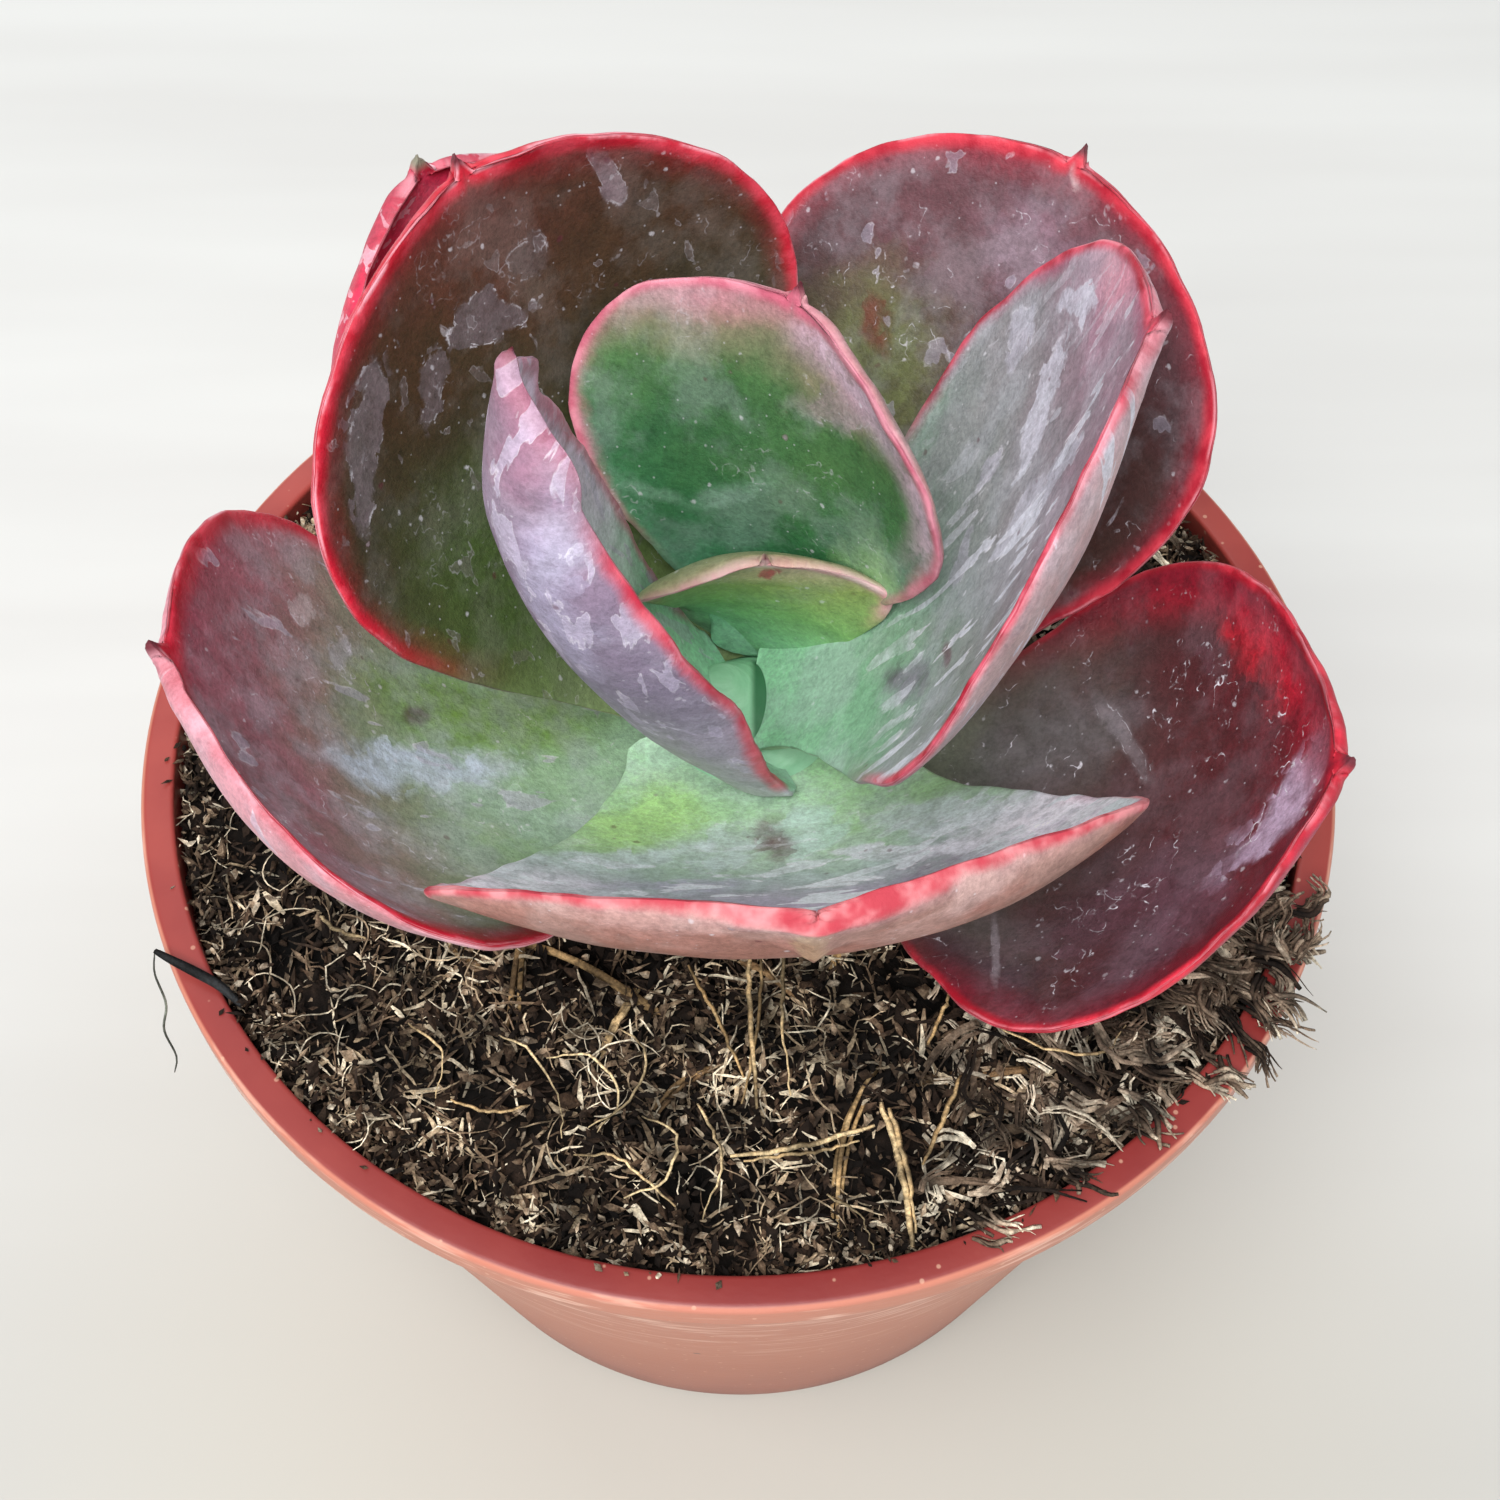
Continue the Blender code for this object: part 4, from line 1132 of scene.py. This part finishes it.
def leaf_skin(name, leaf, seed):
    """The waxy skin of one leaf, from its colours along the inner and outer face and its marks."""
    skin = Finish(name)
    place = skin.attribute("skin", "Vector")
    margin = skin.attribute("margin")
    across, along, outer = place.parts()
    length = leaf["size"][0]
    up_blade = along / length
    flat_place = skin.join(across, along)
    place = place * (1.0, 1.0, 40.0) + (seed * 31.0, seed * 17.0, seed * 7.0)
    broad = place.noise(0.07)
    mottle = place.noise(0.5, 4.0, 0.62)
    ragged = mottle.output("Color") - 0.5
    ragged_one = ragged.parts()[0]
    drift = place.noise(0.17, 1.0).output("Color") - 0.5
    chipped = (place + ragged * (1.6, 1.6, 0.0)).cells(0.6).output("Color") - 0.5
    share = up_blade + (broad - 0.5) * UNEVEN + ragged_one * 0.12

    def marked(colour, rows):
        """The colour with its patches of wax or stain, some with a thin dried outline."""
        if not rows:
            return colour
        lines = 0.0
        torn = (ragged * 0.7 + drift * 2.0 + chipped * 0.5) * (1.0, 1.0, 0.0)
        for (x, y), (long, wide), turn, code, cover, blur, line in rows:
            inputs = {
                "Vector": flat_place + torn * (3.0 * min(1.0, wide / 2.5)), "Location": (x, y, 0),
                "Rotation": (0, 0, math.radians(turn)), "Scale": (long, wide, 1)}
            reach = skin.add("ShaderNodeMapping", inputs, vector_type="TEXTURE").length()
            laid = reach.step(1 + blur, max(1 - blur, 0), 0.0, cover) * mottle.step(0.3, 0.6, 0.7, 1.0)
            colour = colour.painted(laid, code)
            if line:
                lines = skin.math("MAXIMUM", lines, reach.step(0.92, 1.0) * reach.step(1.06, 1.0, 0.0, line))
        return colour.painted(ragged_one.step(-0.04, 0.1, 0.0, 0.8) * lines, "D9D6DE")

    colour = marked(share.shades(leaf["inside"]), leaf["patches"])
    under_colour = marked(share.shades(leaf["outside"]), leaf["back_patches"])
    for side, first, last, wide, code, cover in leaf["films"]:
        band = (margin + ragged_one * 3.0).step(wide, wide * 0.35) * up_blade.step(first, last, 0.0, cover)
        if side:
            band *= across.step(-2.0 * side, 3.0 * side)
        colour = colour.painted(band * mottle.step(0.3, 0.55, 0.45, 1.0), code)
    curl = abs(place.noise(0.3, 2.5, 0.6) - 0.5).step(0.016, 0.004)
    curl *= place.noise(0.14, 1.0).step(0.52, 0.57, 0.0, leaf["curls"])
    curl *= ragged_one.step(-0.06, 0.08) * place.noise(1.7).step(0.44, 0.56, 0.15, 1.0)
    colour = colour.painted(curl, "DCD8E0").painted(outer, under_colour)

    wander = ragged_one * 2.2 + (broad - 0.5) * 5.0
    first, full = leaf["rim_from"]
    flush = (margin + wander).step(leaf["flush"], 0.0, 0.0, leaf["flush_cover"])
    flush *= (1.0 - outer * 0.75) * up_blade.step(first * 0.7, full)
    colour = colour.painted(flush, leaf["flush_colour"])

    if leaf["flakes"]:
        wide, long = leaf["flake_size"]
        start = leaf["flake_from"]
        blot = (place * (1 / wide, 1 / long, 1.0)).noise(1.0, 3.5, 0.5, 0.4)
        level = 0.72 - 0.25 * leaf["flakes"]
        veil = share.step(start - 0.1, start + 0.1, 0.0, leaf["flake_cover"])
        veil *= 1.0 - outer * leaf["clean_back"]
        if leaf["flake_side"]:
            veil *= across.step(*leaf["flake_side"], 0.25, 1.0)
        colour = colour.painted(blot.step(level, level + 0.012, 0.0, veil), leaf["flake_colour"])
        outline = blot.step(level - 0.012, level) - blot.step(level + 0.008, level + 0.02)
        colour = colour.painted(outline * veil * ragged_one.step(-0.1, 0.1, 0.1, 0.8), "E6E2EA")

    bloom = place.noise(0.13, 5.0, 0.62)
    bloom_cover = bloom.step(0.43, 0.62, 0.0, leaf["bloom"]) * (1.0 - outer * (0.75 * leaf["clean_back"]))
    colour = colour.painted(bloom_cover, leaf["bloom_colour"])
    streaks = ((place + drift * (7.0, 7.0, 0.0)) * (0.8, 0.17, 1.0)).noise(1.0, 4.0, 0.55)
    solid_place = skin.place()
    fine = solid_place.noise(2.1, 4.0, 0.75)
    tone = streaks.step(0.3, 0.7, -0.06, 0.06) + fine.step(0.32, 0.68, -0.15, 0.15)
    tone += mottle.step(0.3, 0.7, 0.88, 1.1) + broad.step(0.3, 0.7, -0.06, 0.06)
    colour = colour.painted(1.0, tone + chipped.parts()[1] * 0.12, "MULTIPLY")

    dots = (place + ragged).cells(0.5)
    dot_red, dot_green, _ = dots.output("Color").parts()
    dot = dots.step(0.16, 0.06) * dot_green.step(1.0 - leaf["dots"], 1.01 - leaf["dots"])
    colour = colour.painted(dot * 0.45, "E9E6EE")
    dust = (place + (3.7, 8.1, 0.0)).cells(1.4)
    dust_dot = dust.step(0.2, 0.08) * dust.output("Color").parts()[0].step(0.86, 0.87, 0.0, 0.3)
    freckle = dots.step(0.2, 0.08) * dot_red.step(0.93, 0.94)
    colour = colour.painted(dust_dot, "E9E6EE").painted(freckle * 0.5, "5A2030")

    rim = leaf["rim"]
    left_rim, right_rim = leaf["rim_sides"]
    present = up_blade.step(first, full) * across.step(-4.0, 4.0, right_rim, left_rim)
    if leaf["rim_until"]:
        present *= up_blade.step(*leaf["rim_until"], 1.0, 0.15)
    rim_place = margin + (wander + 0.6) * leaf["rim_wander"] + outer * leaf["rim_back"]
    rim_light = solid_place.noise(0.3, 3.0).step(0.4, 0.62)
    rim_paint = skin.mix(rim_light, tint(leaf["rim_colour"]), tint(leaf["rim_light"]))
    colour = colour.painted(rim_place.step(rim * 1.35, rim * 0.35) * present, rim_paint)
    # A thin pink-white painted highlight runs along the margin; a leaf's edge value sets how strong it is.
    lit_edge = present * margin.step(0.3, 0.03) * bloom.step(0.46, 0.6, 0.0, leaf["edge"])
    colour = colour.painted(lit_edge, "F2B0BC")
    colour = colour.painted(along.step(length + 0.5, length + 1.6), leaf["tip_colour"])
    skin.relief(fine * 0.6 + mottle * 0.6, 0.17)
    return skin.set(
        Base_Color=colour, Roughness=bloom.step(0.3, 0.7, 0.38, 0.6), Specular_IOR_Level=leaf["gloss"])


def set_leaf(name, node, slot, seed, **own):
    """Builds, sways and skins one leaf and puts it in the place of its CAD node."""
    leaf = {**USUAL_LEAF, **own}
    made = build_leaf(name, leaf)
    grow(
        made, sway, Wave_height=WAVE_HEIGHT * MM, Wave_length=WAVE_LENGTH * MM,
        Ripple_height=RIPPLE_HEIGHT * MM, Ripple_length=RIPPLE_LENGTH * MM, Seed=float(seed),
        Finish=leaf_skin(name + "_skin", leaf, seed))
    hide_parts(node)
    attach(made, "root")


# The oldest leaf stands behind the others, fully red, and only a sliver shows at the back.
set_leaf(
    "old_back_leaf", "leaf_old_back", "leaf_outer", 1,
    heading=132, sweep=4, root=(8, 90.5), lean=(17, 86), bend=1.0, size=(60, 53),
    widest=0.63, base=0.15, cup=(52, 52), roll=(3, -2),
    inside=[(0.0, "8C9A6E"), (0.35, "A03044"), (0.7, "D02C50"), (1.0, "DC3458")],
    outside=[(0.0, "B9A98C"), (0.4, "B0505E"), (1.0, "C82C4C")],
    flush=0.1, flakes=0.5, flake_size=(2.6, 1.2), flake_colour="F0C4D2", bloom=0.1, rim=0.8,
    tip_colour="8E8A78")

# The right front leaf is the darkest, maroon with a broad bright red edge at the right.
set_leaf(
    "right_front_leaf", "leaf_right_front", "leaf_outer", 2,
    heading=-24, sweep=0, root=(8.5, 90.5), lean=(7, 68), bend=1.15, size=(54, 50),
    widest=0.57, base=0.31, cup=(34, 26), roll=(0, 8),
    inside=[(0.0, "8E9A80"), (0.28, "66625A"), (0.48, "553A3A"), (0.7, "542529"), (1.0, "7A1C2A")],
    outside=[(0.0, "B9A98C"), (0.4, "A05A5C"), (1.0, "B02C46")],
    patches=[((16.5, 48.5), (13.0, 5.5), 136, "EA2238", 0.95, 0.6, 0),
             ((-1.5, 48.6), (8.0, 2.6), 39, "CBB2CE", 0.85, 0.35, 0.6),
             ((8.0, 19.7), (8.7, 3.8), 72, "77787A", 0.5, 0.6, 0),
             ((-19.5, 23.8), (7.7, 2.6), 114, "4A2E3C", 0.6, 0.5, 0),
             ((-10.0, 34.0), (10.0, 4.0), 60, "6E4F5E", 0.4, 0.6, 0),
             ((-15.0, 40.0), (8.0, 4.5), 25, "7C5C6C", 0.5, 0.6, 0),
             ((-15.8, 30.3), (1.9, 1.4), 133, "7A5462", 0.3, 0.2, 0.9),
             ((-11.5, 31.0), (1.6, 1.0), 129, "7A5462", 0.3, 0.2, 0.9),
             ((-7.3, 32.2), (1.4, 1.0), 123, "7A5462", 0.3, 0.2, 0.9),
             ((15.3, 35.7), (1.5, 1.2), 148, "6A4450", 0.3, 0.2, 0.8),
             ((-16.2, 23.2), (4.4, 0.4), 153, "B8AEB6", 0.5, 0.4, 0.7),
             ((9.0, 27.0), (5.6, 0.9), 141, "9A9298", 0.45, 0.5, 0.7)],
    films=[(1, 0.3, 0.6, 7.0, "B01A32", 0.7)],
    flush_colour="88182E", flush_cover=0.85, bloom=0.12, bloom_colour="9A8C98", rim=0.9, edge=0.4,
    rim_back=0.1, rim_colour="AE182C", rim_light="DA3246", curls=1.0)

# The left front leaf is mauve outside and green along the middle, with a grey wax patch.
set_leaf(
    "left_front_leaf", "leaf_left_front", "leaf_outer", 3,
    heading=202, sweep=-19, root=(8.5, 90.5), lean=(11, 69), bend=1.0, size=(56, 55),
    widest=0.60, base=0.35, cup=(43, 2), roll=(4, 6),
    inside=[(0.0, "A8D0AC"), (0.35, "8BA981"), (0.55, "8C8876"), (0.75, "9A6870"), (1.0, "B05E72")],
    outside=[(0.0, "C3B59B"), (0.4, "C08E8C"), (1.0, "D89CA8")],
    patches=[((-9.3, 17.2), (12.5, 4.1), 94, "77A03C", 0.85, 0.5, 0),
             ((-1.0, 27.0), (10.5, 2.8), 78, "C2CEDC", 0.95, 0.4, 0.25),
             ((3.0, 18.0), (9.0, 3.0), 100, "A9C4B4", 0.5, 0.6, 0.25),
             ((-8.0, 25.4), (1.5, 1.0), 51, "4E3A2C", 0.85, 0.5, 0),
             ((-16.0, 37.5), (1.9, 1.1), 38, "D9D3D6", 0.4, 0.2, 0.7),
             ((-12.9, 33.1), (2.2, 1.2), 30, "B4B2BA", 0.6, 0.3, 0.3)],
    films=[(1, 0.25, 0.45, 4.5, "B42038", 0.9)],
    flush_colour="A42C44", flakes=0.3, bloom=0.3, rim=2.3, rim_back=2.0, rim_wander=0.4,
    rim_colour="C01830", rim_light="D8384C", curls=0.6, edge=0.7)

# The back right leaf is dusty mauve above and olive at the lower left.
set_leaf(
    "back_right_leaf", "leaf_back_right", "leaf_outer", 4,
    heading=52, sweep=0, root=(6.5, 94.5), lean=(24, 59), bend=0.85, size=(55, 53.5),
    widest=0.62, base=0.34, cup=(8, 20), roll=(-4, -7),
    inside=[(0.0, "8FA373"), (0.35, "4E4236"), (0.65, "553A3D"), (1.0, "6C424A")],
    outside=[(0.0, "C3B59B"), (0.4, "A97B78"), (1.0, "B86A78")],
    patches=[((10.4, 29.5), (8.4, 7.8), 31, "66743F", 0.7, 0.6, 0),
             ((12.0, 33.4), (2.2, 1.5), 52, "6B2F28", 0.8, 0.5, 0),
             ((-14.0, 27.0), (14.0, 9.0), 90, "452622", 0.75, 0.6, 0),
             ((-2.0, 46.0), (9.0, 4.0), 10, "A58CA0", 0.3, 0.5, 0),
             ((-0.8, 54.2), (1.4, 0.5), 55, "E0C8C8", 0.8, 0.4, 0)],
    flush=4.0, flush_colour="962A3C", flakes=0.3, flake_size=(4.0, 5.0), flake_cover=0.3, bloom=0.13,
    rim_colour="B41830", rim_light="D83A4C", curls=0.5)

# The back left leaf is dark olive, browner outside, with crinkled grey patches of wax.
set_leaf(
    "back_left_leaf", "leaf_back_left", "leaf_outer", 5,
    heading=143, sweep=-7, root=(5.5, 95), lean=(35, 77), bend=0.5, size=(57, 56),
    widest=0.62, base=0.25, cup=(18, 30), roll=(1, 2),
    inside=[(0.0, "93AA6E"), (0.35, "4C5C31"), (0.62, "3F3826"), (0.8, "48301F"), (1.0, "5A2F26")],
    outside=[(0.0, "C3B59B"), (0.4, "9C6F6C"), (1.0, "A34A58")],
    patches=[((8.9, 23.2), (13.1, 9.3), 39, "4A6330", 0.7, 0.6, 0),
             ((18.8, 43.9), (7.3, 2.3), 129, "76696E", 0.75, 0.12, 0.7),
             ((2.4, 45.1), (3.7, 2.8), 25, "6A5E63", 0.75, 0.15, 0.8),
             ((9.7, 43.1), (3.3, 1.4), 132, "6A5E63", 0.7, 0.15, 0.6),
             ((-12.7, 50.8), (3.7, 1.2), 88, "85737A", 0.85, 0.15, 0.5),
             ((-3.5, 47.5), (2.1, 1.5), 47, "5F5455", 0.5, 0.25, 0.4)],
    flush=4.2, flush_colour="8C2028", flakes=0.3, flake_size=(2.6, 3.6), flake_colour="7E7276",
    flake_cover=0.28, bloom=0.15, bloom_colour="8F8A86", rim=1.4, rim_colour="C81830", rim_light="E04456",
    rim_from=(0.34, 0.6), dots=0.3, edge=0.8)

# The front leaf is seen along its edge: pale green base, grey streaks, coral rim, tan under.
set_leaf(
    "front_leaf", "leaf_front", "leaf_inner", 6,
    heading=-87, sweep=7, root=(2.5, 95), lean=(-6, 68), bend=0.5, size=(53, 57.5),
    widest=0.80, base=0.44, cup=(32, 16), roll=(3, -6), reach=3.0,
    inside=[(0.0, "B5E2B6"), (0.25, "A9CF9C"), (0.42, "A4B6B0"), (0.6, "ACA4B6"), (1.0, "B49CB6")],
    outside=[(0.0, "8E8076"), (0.5, "8A6C60"), (0.8, "966A5E"), (0.95, "A4766C"), (1.0, "B8908A")],
    patches=[((-10.8, 9.5), (7.8, 4.0), 125, "AEDB80", 0.65, 0.5, 0),
             ((15.7, 19.1), (10.4, 2.3), 45, "C9CFD6", 0.75, 0.35, 0.5),
             ((-4.1, 15.8), (5.5, 2.6), 110, "C2D2D0", 0.75, 0.35, 0.5),
             ((-14.7, 18.7), (8.5, 1.9), 160, "C4D2D2", 0.75, 0.35, 0.4),
             ((4.0, 13.5), (5.3, 3.0), 96, "BCDACE", 0.8, 0.25, 0.6),
             ((11.6, 23.3), (7.3, 1.5), 39, "DADAE4", 0.85, 0.2, 0.4),
             ((13.0, 35.4), (10.3, 3.0), 84, "7C5A74", 0.55, 0.5, 0),
             ((21.9, 37.7), (11.0, 3.6), 88, "CCC2DA", 0.6, 0.4, 0.3),
             ((-9.6, 25.2), (6.1, 1.9), 175, "B4AEC4", 0.7, 0.4, 0.4),
             ((0.3, 14.5), (4.6, 1.6), 91, "653C42", 0.9, 0.4, 0)],
    films=[(0, 0.36, 0.56, 12.0, "F2EEF6", 0.92)],
    flush=2.0, flush_colour="C07C96", flakes=0.66, flake_size=(8.0, 3.6), flake_colour="DDE2E8",
    flake_cover=0.9, flake_from=0.34, bloom=0.4, bloom_colour="C4D6D2", clean_back=1.0, gloss=0.12,
    rim=0.72, rim_back=-0.1, rim_colour="BC4450", rim_light="DE8E92", edge=0.0, rim_from=(0.62, 0.74),
    rim_wander=0.3, tip_colour="C4666C", point=0.1,
    beak=dict(along=(-6.4, -5.2, -1.0, 2.0), high=(0.0, 1.5, 0.5, 0.0), half=1.5),
    back_patches=[((0.0, 49.4), (3.8, 1.5), 90, "A08468", 0.8, 0.35, 0)])

# The inner right leaf stands up with its broad grey face to the left. Its wax is flaking.
set_leaf(
    "inner_right_leaf", "leaf_inner_right", "leaf_inner", 7,
    heading=-9, sweep=21, root=(0.5, 98.5), lean=(41, 73), bend=0.65, size=(58, 51.5),
    widest=0.58, base=0.17, cup=(12, 23), roll=(6, -23), root_thick=4.6,
    reach=1.8, root_half=(7.5, 3.5),
    inside=[(0.0, "A4DCB4"), (0.28, "82B08E"), (0.45, "8E9694"), (0.7, "8E828A"), (0.9, "A27C8E"),
            (1.0, "CC8A9C")],
    outside=[(0.0, "B5C7A6"), (0.4, "B9AFA8"), (1.0, "C39CA2")],
    patches=[((14.5, 46.9), (4.2, 1.9), 152, "C3BFCE", 0.85, 0.12, 0.6),
             ((19.3, 37.4), (3.7, 2.0), 8, "B9B6C4", 0.7, 0.15, 0.6),
             ((9.3, 40.3), (6.0, 1.8), 36, "CBC8D6", 0.85, 0.12, 0.6),
             ((0.9, 27.8), (3.6, 1.4), 24, "B9B6C4", 0.7, 0.15, 0.6),
             ((8.4, 32.4), (2.4, 1.2), 68, "B9B6C4", 0.7, 0.15, 0.6),
             ((-1.6, 42.5), (4.3, 1.8), 86, "B9B6C4", 0.8, 0.12, 0.6),
             ((-0.6, 36.8), (4.3, 1.6), 72, "B9B6C4", 0.7, 0.15, 0.5),
             ((-8.5, 21.2), (4.4, 1.6), 126, "503452", 0.8, 0.5, 0),
             ((-9.6, 27.6), (2.2, 0.7), 153, "5E2540", 0.7, 0.4, 0)],
    flush=2.2, flush_colour="B4607C", flakes=0.56, flake_size=(2.2, 9.0), flake_colour="D4D4E0",
    flake_cover=0.85, flake_from=0.34, flake_side=(12.0, -2.0),
    bloom=0.3, rim=1.1, rim_light="E0566C", rim_from=(0.3, 0.5))

# The inner left leaf is folded, and its outer face, pale lavender with wax, is to the front.
set_leaf(
    "inner_left_leaf", "leaf_inner_left", "leaf_inner", 8,
    heading=212, sweep=0, root=(3, 98.5), lean=(56, 98), bend=1.4, size=(61, 28),
    widest=0.44, base=0.71, end=1.0, cup=(83, 33), roll=(-11, -28), root_thick=4.6,
    reach=4.0,
    films=[(0, 0.3, 0.5, 5.0, "DCCBE0", 0.8)],
    inside=[(0.0, "A8DCBC"), (0.25, "A8D4B4"), (0.45, "D0D0D8"), (1.0, "E8C8DC")],
    outside=[(0.0, "BCB6BE"), (0.3, "A8A0B0"), (0.55, "887E92"), (0.8, "88748A"), (1.0, "9A6C80")],
    back_patches=[((-3.4, 40.6), (3.9, 1.7), 53, "D2CCDC", 0.8, 0.2, 0.5),
                  ((-2.0, 34.6), (3.9, 1.0), 80, "D2CCDC", 0.8, 0.2, 0.5),
                  ((-2.3, 52.7), (3.0, 1.0), 91, "D2CCDC", 0.8, 0.2, 0.5),
                  ((5.5, 44.0), (12.0, 2.0), 88, "BDBAD6", 0.5, 0.7, 0),
                  ((-5.5, 30.0), (12.0, 1.8), 84, "C88CA2", 0.5, 0.6, 0)],
    flush=2.0, flush_colour="C07890", flakes=0.6, flake_size=(1.6, 6.0), flake_colour="C4BAD0",
    flake_cover=0.55, bloom=0.15, rim=1.15, rim_back=0.2, rim_wander=0.25, rim_sides=(1.0, 0.3),
    rim_from=(0.0, 0.05), rim_until=(0.74, 0.84), rim_colour="CC3048", rim_light="E46474")

# The inner back leaf is the greenest, deep at the middle, and pink at its rim.
set_leaf(
    "inner_back_leaf", "leaf_inner_back", "leaf_young", 9,
    heading=86, sweep=-26, root=(6.5, 99.5), lean=(90, 73), bend=0.85, size=(39.5, 39),
    widest=0.66, base=0.11, cup=(14, 34), roll=(-3, -11), root_thick=4.6,
    reach=3.0, root_half=(5.0, 5.0),
    inside=[(0.0, "8AC49E"), (0.3, "4E9068"), (0.5, "366C42"), (0.72, "4A7242"), (0.88, "7E7A60"),
            (1.0, "B88086")],
    outside=[(0.0, "A9C59B"), (0.5, "9DAF8E"), (1.0, "C59A9A")],
    patches=[((10.8, 16.7), (2.6, 0.8), 1, "A9CDB8", 0.22, 0.5, 0),
             ((3.6, 18.8), (4.6, 1.0), 145, "A9CDB8", 0.22, 0.5, 0),
             ((-7.5, 33.5), (6.5, 1.6), 150, "B79AA8", 0.5, 0.5, 0.3),
             ((-13.0, 12.0), (8.0, 4.0), 70, "9CC080", 0.6, 0.6, 0)],
    films=[(-1, 0.45, 0.65, 5.6, "CBACBC", 0.9), (1, 0.6, 0.95, 3.5, "C08C94", 0.5)],
    flush=2.0, flush_colour="B87880", bloom=0.15, rim=1.0, rim_colour="D0607A", rim_light="EE90A4",
    rim_from=(0.25, 0.5), rim_sides=(0.8, 0.75), curls=0.25)

# The youngest leaf is still a small green tongue at the middle, with a dried pink rim.
set_leaf(
    "centre_leaf", "leaf_centre", "leaf_young", 10,
    heading=83, sweep=7, root=(5.5, 102), lean=(100, 110), bend=1.0, size=(16.5, 23),
    widest=0.80, base=0.29, cup=(30, 21), roll=(-17, 3), root_thick=3.6, blade_thick=2.6,
    reach=9.0, root_half=(9.0, 9.0),
    inside=[(0.0, "8CC496"), (0.4, "7FAE68"), (0.75, "96A85E"), (1.0, "D0B49A")],
    outside=[(0.0, "86B892"), (0.5, "6E9A6A"), (1.0, "A4A078")],
    patches=[((-0.5, 14.3), (1.5, 0.9), 82, "B03A48", 0.9, 0.3, 0)],
    flush=1.2, flush_colour="C09A80", bloom=0.1, rim=1.0, rim_colour="DC98A0", rim_light="EAC6C4",
    rim_from=(0.6, 0.8))
